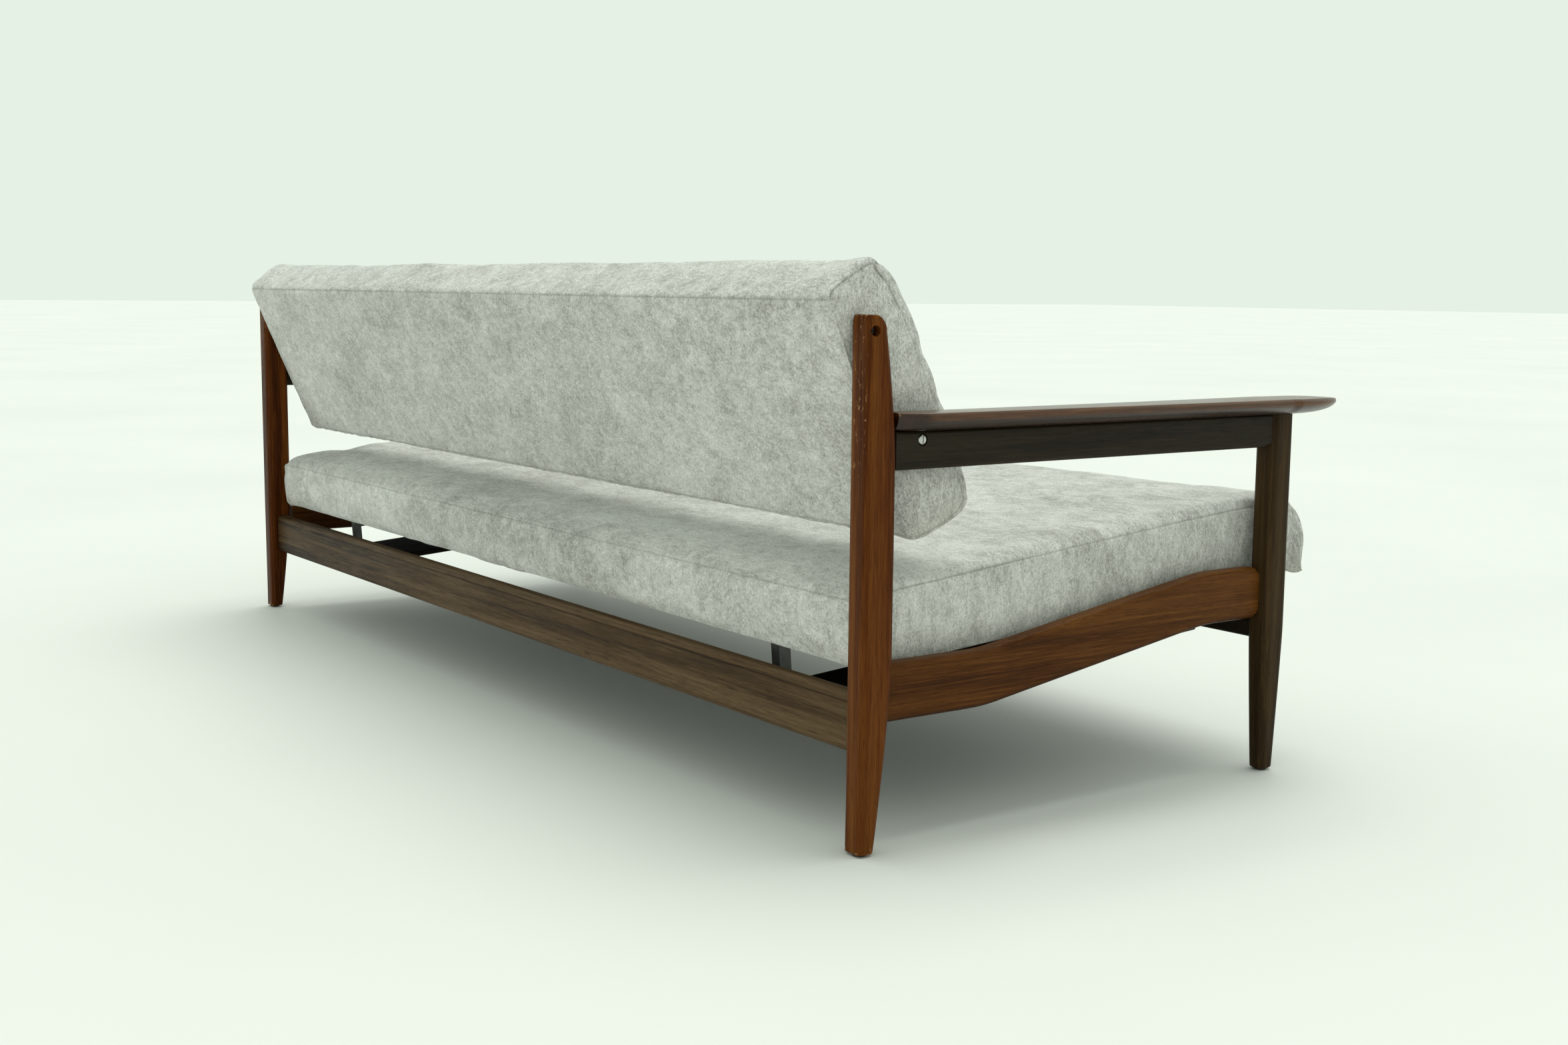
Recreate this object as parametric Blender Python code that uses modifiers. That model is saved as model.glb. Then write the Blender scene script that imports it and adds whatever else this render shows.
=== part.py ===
"""Daybed: a teak frame with a tilting upholstered back and a seat that slides out on track boards.

Metres, +Z up, the long side along X, the front towards -Y. The origin is on the floor, under the
middle of the overall box. Pieces marked left stand at -X, and those marked right at +X.
"""

from math import cos, pi, radians, sin, tan

import bmesh
import bpy
from mathutils import Matrix, Vector

# Frame
HALF_LENGTH = 1.000
REAR_Y = 0.3986
POST_WIDTH = 0.035
POST_DEPTH = 0.045
POST_TOP = 0.630
POST_FOOT_TAPER = 0.0225
POST_TOP_TAPER = 0.018
LEG_FRONT_Y = REAR_Y - 0.737
LEG_DEPTH = 0.041
LEG_CENTRE_Y = LEG_FRONT_Y + LEG_DEPTH / 2
LEG_REAR_Y = LEG_FRONT_Y + LEG_DEPTH
LEG_TOP = 0.4970
FOOT_WIDTH = 0.025
FOOT_DEPTH = 0.027
GLIDE_HEIGHT = 0.003
GLIDE_RADIUS = 0.009
EDGE = 0.008
GAP = 0.0003

# Rails
RAIL_THICK = 0.024
TENON_LENGTH = 0.014
SIDE_TENON_LENGTH = 0.010
REAR_RAIL_Y = REAR_Y - 0.028
REAR_RAIL_Z = (0.115, 0.1880)
FRONT_RAIL_Z = (0.185, 0.2560)
SIDE_RAIL_OUTER = 0.9850
SIDE_RAIL_HEIGHT = 0.071
SIDE_RAIL_LOW = 0.1535
SIDE_RAIL_RISE = 0.0620
RAMP_REAR_Y = REAR_Y - 0.200
RAMP_FRONT_Y = REAR_Y - 0.592
APRON_OUTER = 0.996
APRON_THICK = 0.022
APRON_Z = (0.452, 0.4965)

# Arms
ARM_Z = (0.4973, 0.5190)
ARM_INNER = 0.9715
ARM_OUTER = 1.020
ARM_BOW = 0.013
ARM_SPREAD = 0.016
ARM_CORNER_Y = REAR_Y - 0.076
ARM_NOSE_Y = REAR_Y - 0.700
ARM_TIP_Y = REAR_Y - 0.812

# Back
PIVOT_Y = REAR_Y - 0.010
PIVOT_Z = 0.612
BACK_LEAN = radians(23.3)
BACK_HALF = 0.9610
BACK_REAR = 0.022
BACK_FRONT = -0.0875
BACK_TOP = 0.064
BACK_BOTTOM = -0.270
BACK_FRAME_HALF = 0.9470
STILE_WIDTH = 0.022
BACK_FRAME_Y = (-0.033, 0.018)
BACK_FRAME_Z = (-0.235, 0.034)
PANEL_THICK = 0.003
PEG = (0.0184, 0.1446)
PEG_RADIUS = 0.0035
PEG_END = 0.9635
STUD_END = 0.9705
STUD_GRIP = 0.018
PIVOT_RADIUS = 0.004
BUSH_RADIUS = 0.0065

# Seat
SEAT_TILT = radians(4.6)
SEAT_Y = REAR_Y - 0.028
SEAT_Z = 0.212
SEAT_HALF = 0.950
SEAT_DEPTH = 0.812
SEAT_THICK = (0.096, 0.106)
SEAT_WALL = 0.016
SEAT_FRAME_Z = (0.0026, 0.0420)
COVER_THICK = 0.002
SEAT_RAIL_THICK = 0.024
STRAP_THICK = 0.0025
STRAP_WIDTH = 0.055
STRAP_PLACES = (-0.52, -0.20, 0.20, 0.52)
RUNNER_X = 0.714
RUNNER_PLACES = (0.056, 0.495)
ANGLE_WIDTH = 0.018
ANGLE_THICK = 0.0025
BOARD_X = (0.664, 0.845)
BOARD_THICK = 0.010
BOARD_DROP = 0.0850
PAD_THICK = 0.006
PAD_HALF_WIDTH = 0.014
PAD_TOE = 0.020
PAD_HEEL = 0.014
PAD_HEEL_Y = -0.0065

TEAK = (0.235, 0.095, 0.030)
DARK_TEAK = (0.045, 0.030, 0.018)
BEECH = (0.55, 0.40, 0.24)
STEEL = (0.30, 0.30, 0.31)
FABRIC = (0.62, 0.62, 0.59)
DARK_CLOTH = (0.04, 0.04, 0.04)
RUBBER = (0.03, 0.03, 0.03)
NYLON = (0.75, 0.73, 0.68)


def clear_scene():
    for obj in list(bpy.data.objects):
        bpy.data.objects.remove(obj, do_unlink=True)


def new_collection(name, hidden=False):
    group = bpy.data.collections.new(name)
    bpy.context.scene.collection.children.link(group)
    group.hide_render = hidden
    return group


def finish_material(name, colour, roughness, metallic=0.0):
    material = bpy.data.materials.new(name)
    material.use_nodes = True
    shader = material.node_tree.nodes["Principled BSDF"]
    shader.inputs["Base Color"].default_value = (*colour, 1.0)
    shader.inputs["Roughness"].default_value = roughness
    shader.inputs["Metallic"].default_value = metallic
    return material


def add_object(name, mesh, look, parent=None):
    """One named piece with its own material. Its mesh is in the frame of its parent."""
    colour, roughness, metallic = look
    mesh.materials.append(finish_material(name + "_finish", colour, roughness, metallic))
    obj = bpy.data.objects.new(name, mesh)
    parts.objects.link(obj)
    obj.parent = parent
    mesh.shade_smooth()
    mesh.set_sharp_from_angle(angle=radians(32))
    return obj


def mesh_from(name, build):
    mesh = bpy.data.meshes.new(name)
    bm = bmesh.new()
    build(bm)
    bmesh.ops.recalc_face_normals(bm, faces=bm.faces)
    bm.to_mesh(mesh)
    bm.free()
    return mesh


def loft(bm, rings):
    """A closed skin through rings of equally many points, with flat ends."""
    rows = [[bm.verts.new(point) for point in ring] for ring in rings]
    count = len(rows[0])
    for near, far in zip(rows, rows[1:]):
        for i in range(count):
            j = (i + 1) % count
            bm.faces.new((near[i], near[j], far[j], far[i]))
    bm.faces.new(reversed(rows[0]))
    bm.faces.new(rows[-1])


def rounded(low_a, high_a, low_b, high_b, radius, steps=3):
    """The outline of a rectangle with rounded corners, as (a, b) pairs."""
    points = []
    corners = ((high_a, high_b, 0), (low_a, high_b, 1), (low_a, low_b, 2), (high_a, low_b, 3))
    for a, b, quarter in corners:
        centre_a = a - radius if a == high_a else a + radius
        centre_b = b - radius if b == high_b else b + radius
        for k in range(steps + 1):
            angle = (quarter + k / steps) * pi / 2
            points.append((centre_a + radius * cos(angle), centre_b + radius * sin(angle)))
    return points


def ring_at_z(z, outline):
    return [Vector((a, b, z)) for a, b in outline]


def ring_at_y(y, outline):
    return [Vector((a, y, b)) for a, b in outline]


def ring_at_x(x, outline):
    return [Vector((x, a, b)) for a, b in outline]


def box(bm, low, high):
    middle = [(a + b) / 2 for a, b in zip(low, high)]
    sizes = [b - a for a, b in zip(low, high)]
    place = Matrix.Translation(middle) @ Matrix.Diagonal((*sizes, 1.0))
    return bmesh.ops.create_cube(bm, size=1.0, matrix=place)


def rod(bm, x_from, x_to, y, z, radius, sides=16):
    """A round bar along X."""
    place = Matrix.Translation(((x_from + x_to) / 2, y, z)) @ Matrix.Rotation(pi / 2, 4, "Y")
    bmesh.ops.create_cone(
        bm, cap_ends=True, segments=sides, radius1=radius, radius2=radius,
        depth=abs(x_to - x_from), matrix=place,
    )


def upright(bm, x, y, z_from, z_to, radius, sides=12):
    """A round bar along Z."""
    bmesh.ops.create_cone(
        bm, cap_ends=True, segments=sides, radius1=radius, radius2=radius,
        depth=z_to - z_from, matrix=Matrix.Translation((x, y, (z_from + z_to) / 2)),
    )


def bevelled_box(name, low, high, look, parent=None, radius=0.002, segments=1):
    obj = add_object(name, mesh_from(name, lambda bm: box(bm, low, high)), look, parent)
    bevel = obj.modifiers.new("edge", "BEVEL")
    bevel.width = radius
    bevel.segments = segments
    return obj


def turned(name, profile, look, parent=None, place=(0, 0, 0), turn=(0, 0, 0), sides=20):
    """A piece turned about its own Z axis, from (radius, height) points, top to bottom."""
    mesh = bpy.data.meshes.new(name)
    bm = bmesh.new()
    verts = [bm.verts.new((radius, 0, height)) for radius, height in profile]
    for upper, lower in zip(verts, verts[1:]):
        bm.edges.new((upper, lower))
    bm.to_mesh(mesh)
    bm.free()
    obj = add_object(name, mesh, look, parent)
    obj.location = place
    obj.rotation_euler = turn
    screw = obj.modifiers.new("turn", "SCREW")
    screw.steps = sides
    screw.render_steps = sides
    screw.use_merge_vertices = True
    screw.merge_threshold = 0.00001
    return obj


def cut(obj, name, build, operation="DIFFERENCE"):
    """Cuts a helper solid from a piece, or joins it on. The helper shares the piece's parent."""
    helper = bpy.data.objects.new(name, mesh_from(name, build))
    cutters.objects.link(helper)
    helper.parent = obj.parent
    helper.hide_render = True
    helper.display_type = "WIRE"
    boolean = obj.modifiers.new(name, "BOOLEAN")
    boolean.operation = operation
    boolean.solver = "EXACT"
    boolean.object = helper


def side_name(name, side):
    return name + ("_left" if side < 0 else "_right")


def span(side, a, b):
    """Two distances from the middle, as ordered X values on one side."""
    return (side * a, side * b) if side > 0 else (side * b, side * a)


# Shapes that several pieces meet


def post_depth(z):
    taper = 0.0
    if z < 0.25:
        taper = POST_FOOT_TAPER * (1 - z / 0.25) ** 1.6
    if z > 0.46:
        taper = POST_TOP_TAPER * ((z - 0.46) / (POST_TOP - 0.46)) ** 1.5
    return POST_DEPTH - taper


def soft_ramp(t, soft=0.06):
    """Rises from 0 to 1 in a straight line with a short curve at each end."""
    if t <= -soft:
        return 0.0
    if t < soft:
        return (t + soft) ** 2 / (4 * soft)
    if t <= 1 - soft:
        return t
    return 1.0 - soft_ramp(1 - t, soft)


def side_rail_bottom(y):
    along = (RAMP_REAR_Y - y) / (RAMP_REAR_Y - RAMP_FRONT_Y)
    return SIDE_RAIL_LOW + SIDE_RAIL_RISE * soft_ramp(along)


def board_top(y):
    """The upper face of the track boards, parallel to the seat's underside."""
    return SEAT_Z - BOARD_DROP / cos(SEAT_TILT) + (SEAT_Y - y) * tan(SEAT_TILT)


def rear_post(side):
    name = side_name("rear_post", side)
    inner = HALF_LENGTH - POST_WIDTH
    heights = [GLIDE_HEIGHT, 0.03, 0.07, 0.11, 0.16, 0.25, 0.46, 0.51, 0.55, 0.585, 0.612]

    def build(bm):
        rings = []
        for z in heights:
            low, high = span(side, inner, HALF_LENGTH - 0.003 * max(0.0, 1 - z / 0.2))
            radius = EDGE if z > 0.05 else EDGE * 0.85
            rings.append(ring_at_z(z, rounded(low, high, REAR_Y - post_depth(z), REAR_Y, radius)))
        for k in range(1, 4):
            turn = k / 3 * pi / 2
            shrink = 0.012 * (1 - cos(turn))
            low, high = span(side, inner + shrink * 0.15, HALF_LENGTH - shrink * 0.15)
            z = 0.612 + (POST_TOP - 0.612) * sin(turn)
            front = REAR_Y - post_depth(z) + shrink
            rings.append(ring_at_z(z, rounded(low, high, front, REAR_Y - shrink * 0.2, EDGE * 0.8)))
        loft(bm, rings)

    post = add_object(name, mesh_from(name, build), (TEAK, 0.42, 0.0))

    def bore(bm):
        step = HALF_LENGTH - 0.016
        rod(bm, side * (step - 0.03), side * (HALF_LENGTH + 0.01), PIVOT_Y, PIVOT_Z, PIVOT_RADIUS + 0.0005)

    def counterbore(bm):
        rod(bm, side * (HALF_LENGTH - 0.016), side * (HALF_LENGTH + 0.01), PIVOT_Y, PIVOT_Z, 0.0063)

    def rear_mortise(bm):
        low, high = span(side, inner - 0.001, inner + TENON_LENGTH + GAP)
        box(
            bm,
            (low, REAR_RAIL_Y - 0.006 - GAP, REAR_RAIL_Z[0] + 0.012 - GAP),
            (high, REAR_RAIL_Y + 0.006 + GAP, REAR_RAIL_Z[1] - 0.014 + GAP),
        )

    cut(post, name + "_bore", bore)
    cut(post, name + "_counterbore", counterbore)
    cut(post, name + "_rail_mortise", rear_mortise)
    cut(post, name + "_side_mortise", lambda bm: tenon_box(bm, side, REAR_Y - POST_DEPTH, 1, GAP))
    cut(post, name + "_apron_mortise", lambda bm: apron_tenon(bm, side, REAR_Y - POST_DEPTH, 1, GAP))


def tenon_box(bm, side, face_y, way, extra=0.0):
    """The side rail's tenon at a shoulder, or its mortise when extra is the fit."""
    x_low, x_high = span(side, SIDE_RAIL_OUTER - RAIL_THICK + 0.007 - extra, SIDE_RAIL_OUTER - 0.007 + extra)
    bottom = side_rail_bottom(face_y)
    reach = face_y + way * (SIDE_TENON_LENGTH + extra)
    start = face_y - way * 0.004
    box(
        bm,
        (x_low, min(start, reach), bottom + 0.013 - extra),
        (x_high, max(start, reach), bottom + SIDE_RAIL_HEIGHT - 0.013 + extra),
    )


def apron_tenon(bm, side, face_y, way, extra=0.0):
    x_low, x_high = span(side, APRON_OUTER - APRON_THICK + 0.006 - extra, APRON_OUTER - 0.006 + extra)
    reach = face_y + way * (TENON_LENGTH + extra)
    start = face_y - way * 0.004
    box(
        bm,
        (x_low, min(start, reach), APRON_Z[0] + 0.009 - extra),
        (x_high, max(start, reach), APRON_Z[1] - 0.009 + extra),
    )


def front_leg(side):
    name = side_name("front_leg", side)
    inner = HALF_LENGTH - POST_WIDTH
    middle = (inner + HALF_LENGTH) / 2 + 0.001

    def build(bm):
        rings = []
        for z in (GLIDE_HEIGHT, 0.06, 0.12, 0.18, 0.30, 0.44, LEG_TOP - GAP):
            taper = max(0.0, 1 - z / 0.20) ** 1.15
            width = POST_WIDTH + (FOOT_WIDTH - POST_WIDTH) * taper
            depth = LEG_DEPTH + (FOOT_DEPTH - LEG_DEPTH) * taper
            x = middle - 0.001 * (1 - taper)
            low, high = span(side, x - width / 2, x + width / 2)
            y = LEG_CENTRE_Y
            rings.append(ring_at_z(z, rounded(low, high, y - depth / 2, y + depth / 2, 0.010)))
        loft(bm, rings)

    leg = add_object(name, mesh_from(name, build), (TEAK, 0.42, 0.0))

    def dowel(bm):
        upright(bm, side * middle, LEG_CENTRE_Y, LEG_TOP - 0.012, LEG_TOP + 0.012, 0.0075, 16)

    def front_mortise(bm):
        low, high = span(side, inner - 0.001, inner + TENON_LENGTH + GAP)
        box(
            bm,
            (low, LEG_CENTRE_Y - 0.006 - GAP, FRONT_RAIL_Z[0] + 0.012 - GAP),
            (high, LEG_CENTRE_Y + 0.006 + GAP, FRONT_RAIL_Z[1] - 0.012 + GAP),
        )

    cut(leg, name + "_dowel", dowel, "UNION")
    cut(leg, name + "_rail_mortise", front_mortise)
    cut(leg, name + "_side_mortise", lambda bm: tenon_box(bm, side, LEG_REAR_Y, -1, GAP))
    cut(leg, name + "_apron_mortise", lambda bm: apron_tenon(bm, side, LEG_REAR_Y, -1, GAP))


def side_rail(side):
    name = side_name("side_rail", side)
    rear = REAR_Y - POST_DEPTH - GAP
    front = LEG_REAR_Y + GAP
    low, high = span(side, SIDE_RAIL_OUTER - RAIL_THICK, SIDE_RAIL_OUTER)
    steps = 26

    def build(bm):
        rings = []
        for k in range(steps + 1):
            y = rear + (front - rear) * k / steps
            z = side_rail_bottom(y)
            rings.append(ring_at_y(y, rounded(low, high, z, z + SIDE_RAIL_HEIGHT, 0.007)))
        loft(bm, rings)

    rail = add_object(name, mesh_from(name, build), (TEAK, 0.42, 0.0))
    cut(rail, name + "_rear_tenon", lambda bm: tenon_box(bm, side, rear, 1), "UNION")
    cut(rail, name + "_front_tenon", lambda bm: tenon_box(bm, side, front, -1), "UNION")


def arm_apron(side):
    name = side_name("arm_apron", side)
    rear = REAR_Y - POST_DEPTH - GAP
    front = LEG_REAR_Y + GAP
    low, high = span(side, APRON_OUTER - APRON_THICK, APRON_OUTER)

    def build(bm):
        outline = rounded(low, high, APRON_Z[0], APRON_Z[1], 0.005)
        loft(bm, [ring_at_y(y, outline) for y in (rear, front)])

    apron = add_object(name, mesh_from(name, build), (DARK_TEAK, 0.45, 0.0))
    cut(apron, name + "_rear_tenon", lambda bm: apron_tenon(bm, side, rear, 1), "UNION")
    cut(apron, name + "_front_tenon", lambda bm: apron_tenon(bm, side, front, -1), "UNION")
    peg_y, peg_z = peg_place()

    def peg_bore(bm):
        rod(bm, side * 0.96, side * 1.02, peg_y, peg_z, PEG_RADIUS + GAP)

    def peg_head(bm):
        rod(bm, side * (APRON_OUTER - 0.004), side * 1.02, peg_y, peg_z, 0.0072)

    x, y = arm_screw_place(side)
    cut(apron, name + "_peg_bore", peg_bore)
    cut(apron, name + "_peg_head", peg_head)
    cut(apron, name + "_screw_bore", lambda bm: upright(bm, x, y, 0.44, 0.52, 0.0024 + GAP))
    cut(apron, name + "_screw_head", lambda bm: upright(bm, x, y, 0.44, 0.4680, 0.0052))


def arm_screw_place(side):
    return side * (APRON_OUTER - APRON_THICK / 2), REAR_Y - 0.36


def arm_edges(y):
    """The arm's inner and outer distance from the middle, at a place along it."""
    along = min(1.0, max(0.0, (ARM_CORNER_Y - y) / (ARM_CORNER_Y - ARM_NOSE_Y)))
    outer = ARM_OUTER + ARM_BOW * sin(along * pi / 2)
    inner = ARM_INNER - ARM_SPREAD * along ** 2
    if y > ARM_CORNER_Y:
        back = (y - ARM_CORNER_Y) / (REAR_Y - POST_DEPTH - ARM_CORNER_Y)
        outer -= (ARM_OUTER - HALF_LENGTH + 0.001) * back
    if y < ARM_NOSE_Y:
        past = (ARM_NOSE_Y - y) / (ARM_NOSE_Y - ARM_TIP_Y)
        centre = (inner + outer) / 2 + 0.003
        half = (outer - inner) / 2 * max(0.0, 1 - past ** 2.6) ** 0.5
        inner, outer = centre - half, centre + half
    return inner, outer


def armrest(side):
    name = side_name("armrest", side)
    bottom, top = ARM_Z
    height = top - bottom
    rear = REAR_Y - POST_DEPTH - GAP
    places = [rear, (rear + ARM_CORNER_Y) / 2, ARM_CORNER_Y + 0.001]
    places += [ARM_CORNER_Y + (ARM_NOSE_Y - ARM_CORNER_Y) * k / 8 for k in range(1, 9)]
    places += [ARM_NOSE_Y + (ARM_TIP_Y - ARM_NOSE_Y) * sin(k / 7 * pi / 2) for k in range(1, 7)]
    places.append(ARM_TIP_Y + 0.0002)
    section = (
        (0.06, 0.02), (0.45, 0.0), (0.66, 0.0), (0.80, 0.10), (0.90, 0.28), (0.975, 0.48),
        (1.0, 0.62), (0.995, 0.78), (0.965, 0.92), (0.90, 0.985), (0.5, 1.0), (0.10, 0.985),
        (0.03, 0.91), (0.0, 0.74), (0.0, 0.28), (0.02, 0.10),
    )

    def build(bm):
        rings = []
        for y in places:
            inner, outer = arm_edges(y)
            past = max(0.0, (ARM_NOSE_Y - y) / (ARM_NOSE_Y - ARM_TIP_Y))
            lift = 0.45 * past ** 3
            drop = 0.12 * past ** 4
            rings.append([
                Vector((
                    side * (inner + (outer - inner) * across),
                    y,
                    bottom + height * (lift + (1 - lift - drop) * up),
                ))
                for across, up in section
            ])
        loft(bm, rings)

    arm = add_object(name, mesh_from(name, build), (TEAK, 0.30, 0.0))

    def dowel_hole(bm):
        middle = HALF_LENGTH - POST_WIDTH / 2 + 0.001
        top = LEG_TOP + 0.012 + GAP
        upright(bm, side * middle, LEG_CENTRE_Y, LEG_TOP - 0.01, top, 0.0075 + GAP, 16)

    def screw_bore(bm):
        x, y = arm_screw_place(side)
        upright(bm, x, y, ARM_Z[0] - 0.01, ARM_Z[0] + 0.013, 0.0024 + GAP)

    cut(arm, name + "_dowel_hole", dowel_hole)
    cut(arm, name + "_screw_bore", screw_bore)


def cross_rail(name, centre_y, z_range, look, radius):
    """A rail along X between the end frames, with a tenon at each end."""
    inner = HALF_LENGTH - POST_WIDTH - GAP
    low_z, high_z = z_range
    y_low, y_high = centre_y - RAIL_THICK / 2, centre_y + RAIL_THICK / 2

    def build(bm):
        outline = rounded(y_low, y_high, low_z, high_z, radius)
        loft(bm, [ring_at_x(x, outline) for x in (-inner, inner)])

    rail = add_object(name, mesh_from(name, build), look)
    top_drop = 0.014 if name == "rear_rail" else 0.012
    for side in (-1, 1):
        low, high = span(side, inner - 0.004, inner + TENON_LENGTH)
        tenon = (
            (low, centre_y - 0.006, low_z + 0.012),
            (high, centre_y + 0.006, high_z - top_drop),
        )
        cut(rail, side_name(name + "_tenon", side), lambda bm, t=tenon: box(bm, *t), "UNION")
    return rail


def rear_rail():
    rail = cross_rail("rear_rail", REAR_RAIL_Y, REAR_RAIL_Z, (TEAK, 0.45, 0.0), 0.008)
    front = REAR_RAIL_Y - RAIL_THICK / 2
    top = board_top(front)
    for side in (-1, 1):
        low, high = span(side, BOARD_X[0] - GAP, BOARD_X[1] + GAP)
        rebate = ((low, front - 0.005, 0.08), (high, front + 0.010 + GAP, top + 0.0012))
        cut(rail, side_name("rear_rail_rebate", side), lambda bm, r=rebate: box(bm, *r))
        cut(rail, side_name("rear_rail_screw", side), lambda bm, s=side: board_screw_hole(bm, s, 0))


def board_screw_place(side, front):
    """The middle of a board screw, at the rear end or the front end of a track board."""
    x = side * sum(BOARD_X) / 2
    if front:
        return x, LEG_CENTRE_Y
    return x, REAR_RAIL_Y - RAIL_THICK / 2 + 0.0055


def board_screw_hole(bm, side, front):
    x, y = board_screw_place(side, front)
    z = board_top(y) - BOARD_THICK
    upright(bm, x, y, z - 0.006, z + 0.0345, 0.0020 + GAP)


def front_rail():
    rail = cross_rail("front_rail", LEG_CENTRE_Y, FRONT_RAIL_Z, (DARK_TEAK, 0.5, 0.0), 0.004)
    for side in (-1, 1):
        cut(rail, side_name("front_rail_screw", side), lambda bm, s=side: board_screw_hole(bm, s, 1))


def track_board(side):
    name = side_name("track_board", side)
    low, high = span(side, *BOARD_X)
    rear = REAR_RAIL_Y - RAIL_THICK / 2 + 0.010
    front = LEG_CENTRE_Y - RAIL_THICK / 2

    def build(bm):
        rings = []
        for y in (rear, front):
            top = board_top(y)
            rings.append(ring_at_y(y, rounded(low, high, top - BOARD_THICK, top, 0.002, 2)))
        loft(bm, rings)

    board = add_object(name, mesh_from(name, build), (DARK_TEAK, 0.55, 0.0))
    for front_end in (0, 1):
        end = "_front" if front_end else "_rear"
        cut(board, name + end + "_hole", lambda bm, f=front_end: board_screw_hole(bm, side, f))


def board_screw(side, front):
    x, y = board_screw_place(side, front)
    name = side_name("board_screw" + ("_front" if front else "_rear"), side)
    z = board_top(y) - BOARD_THICK - 0.0008
    profile = (
        (0.0, 0.0340), (0.0008, 0.0335), (0.0020, 0.0290), (0.0020, 0.0004),
        (0.0040, 0.0), (0.0036, -0.0014), (0.0022, -0.0024), (0.0, -0.0026),
    )
    turned(name, profile, (STEEL, 0.4, 1.0), place=(x, y, z), sides=16)


def foot_glide(name, x, y):
    profile = (
        (0.0, GLIDE_HEIGHT - GAP), (GLIDE_RADIUS - 0.001, GLIDE_HEIGHT - GAP),
        (GLIDE_RADIUS, GLIDE_HEIGHT - 0.0010), (GLIDE_RADIUS - 0.0012, 0.0), (0.0, 0.0),
    )
    turned(name, profile, (RUBBER, 0.7, 0.0), place=(x, y, 0.0), sides=20)


def arm_screw(side):
    x, y = arm_screw_place(side)
    z = APRON_Z[0] + 0.0115
    profile = (
        (0.0, 0.0450), (0.0007, 0.0445), (0.0024, 0.0380), (0.0024, 0.0030),
        (0.0046, 0.0), (0.0044, -0.0008), (0.0, -0.0010),
    )
    turned(side_name("arm_screw", side), profile, (STEEL, 0.4, 1.0), place=(x, y, z), sides=16)


def peg_place():
    """Where the stop pegs cross the ends of the back, as world Y and Z."""
    forward, below = PEG
    y = PIVOT_Y - below * sin(BACK_LEAN) - forward * cos(BACK_LEAN)
    z = PIVOT_Z - below * cos(BACK_LEAN) + forward * sin(BACK_LEAN)
    return y, z


def stop_peg(side):
    """The slotted screw through the apron. Its plain end is the peg that the back's stud rests on."""
    y, z = peg_place()
    name = side_name("stop_peg", side)
    length = APRON_OUTER - PEG_END
    profile = (
        (0.0, 0.0012), (0.0030, 0.0010), (0.0050, 0.0003), (0.0058, -0.0008), (0.0056, -0.0024),
        (PEG_RADIUS, -0.0036), (PEG_RADIUS, -length + 0.0008), (PEG_RADIUS - 0.0008, -length),
        (0.0, -length),
    )
    peg = turned(
        name, profile, ((0.7, 0.7, 0.7), 0.25, 1.0),
        place=(side * APRON_OUTER, y, z), turn=(0, side * pi / 2, 0),
    )

    def slot(bm):
        low, high = span(side, APRON_OUTER - 0.0006, APRON_OUTER + 0.004)
        box(bm, (low, y - 0.0007, z - 0.0062), (high, y + 0.0007, z + 0.0062))

    cut(peg, name + "_slot", slot)


def pivot_bolt(side):
    """The bolt that a back end turns on. Its head is sunk in the post."""
    name = side_name("pivot_bolt", side)
    seat = HALF_LENGTH - 0.016
    reach = seat - (BACK_FRAME_HALF - STILE_WIDTH + 0.002)
    profile = (
        (0.0, 0.0060), (0.0048, 0.0060), (0.0056, 0.0052), (0.0056, GAP), (PIVOT_RADIUS, GAP),
        (PIVOT_RADIUS, -reach + 0.001), (PIVOT_RADIUS - 0.001, -reach), (0.0, -reach),
    )
    bolt = turned(
        name, profile, (STEEL, 0.35, 1.0),
        place=(side * seat, PIVOT_Y, PIVOT_Z), turn=(0, side * pi / 2, 0),
    )

    def socket(bm):
        rod(bm, side * (seat + 0.0025), side * (seat + 0.02), PIVOT_Y, PIVOT_Z, 0.0029, 6)

    cut(bolt, name + "_socket", socket)


# Back: made in its own frame, with the pivot at the origin and Z up along its face


def back_frame(pivot):
    half = BACK_FRAME_HALF
    y_low, y_high = BACK_FRAME_Y
    bottom, top = BACK_FRAME_Z
    wood = (BEECH, 0.6, 0.0)
    inside = half - STILE_WIDTH - GAP
    rail = 0.030
    for name, z_low, z_high in (
        ("back_frame_bottom_rail", bottom, bottom + rail),
        ("back_frame_top_rail", 0.011, top),
    ):
        bevelled_box(name, (-inside, y_low, z_low), (inside, y_high, z_high), wood, pivot)
    bevelled_box(
        "back_frame_middle_stile", (-0.022, y_low, bottom + rail + GAP), (0.022, y_high, 0.011 - GAP),
        wood, pivot,
    )
    for side in (-1, 1):
        name = side_name("back_frame_stile", side)
        low, high = span(side, half - STILE_WIDTH, half)
        stile = bevelled_box(name, (low, y_low, bottom), (high, y_high, top), wood, pivot)

        def bush_hole(bm, s=side):
            rod(bm, s * (half - STILE_WIDTH - 0.01), s * (half + 0.01), 0, 0, BUSH_RADIUS + GAP)

        def stud_hole(bm, s=side):
            rod(bm, s * (half - STUD_GRIP - GAP), s * (half + 0.01), *stud_place(), PEG_RADIUS + GAP)

        cut(stile, name + "_hole", bush_hole)
        cut(stile, name + "_stud_hole", stud_hole)
        bush(side, pivot)
        stop_stud(side, pivot)


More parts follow.
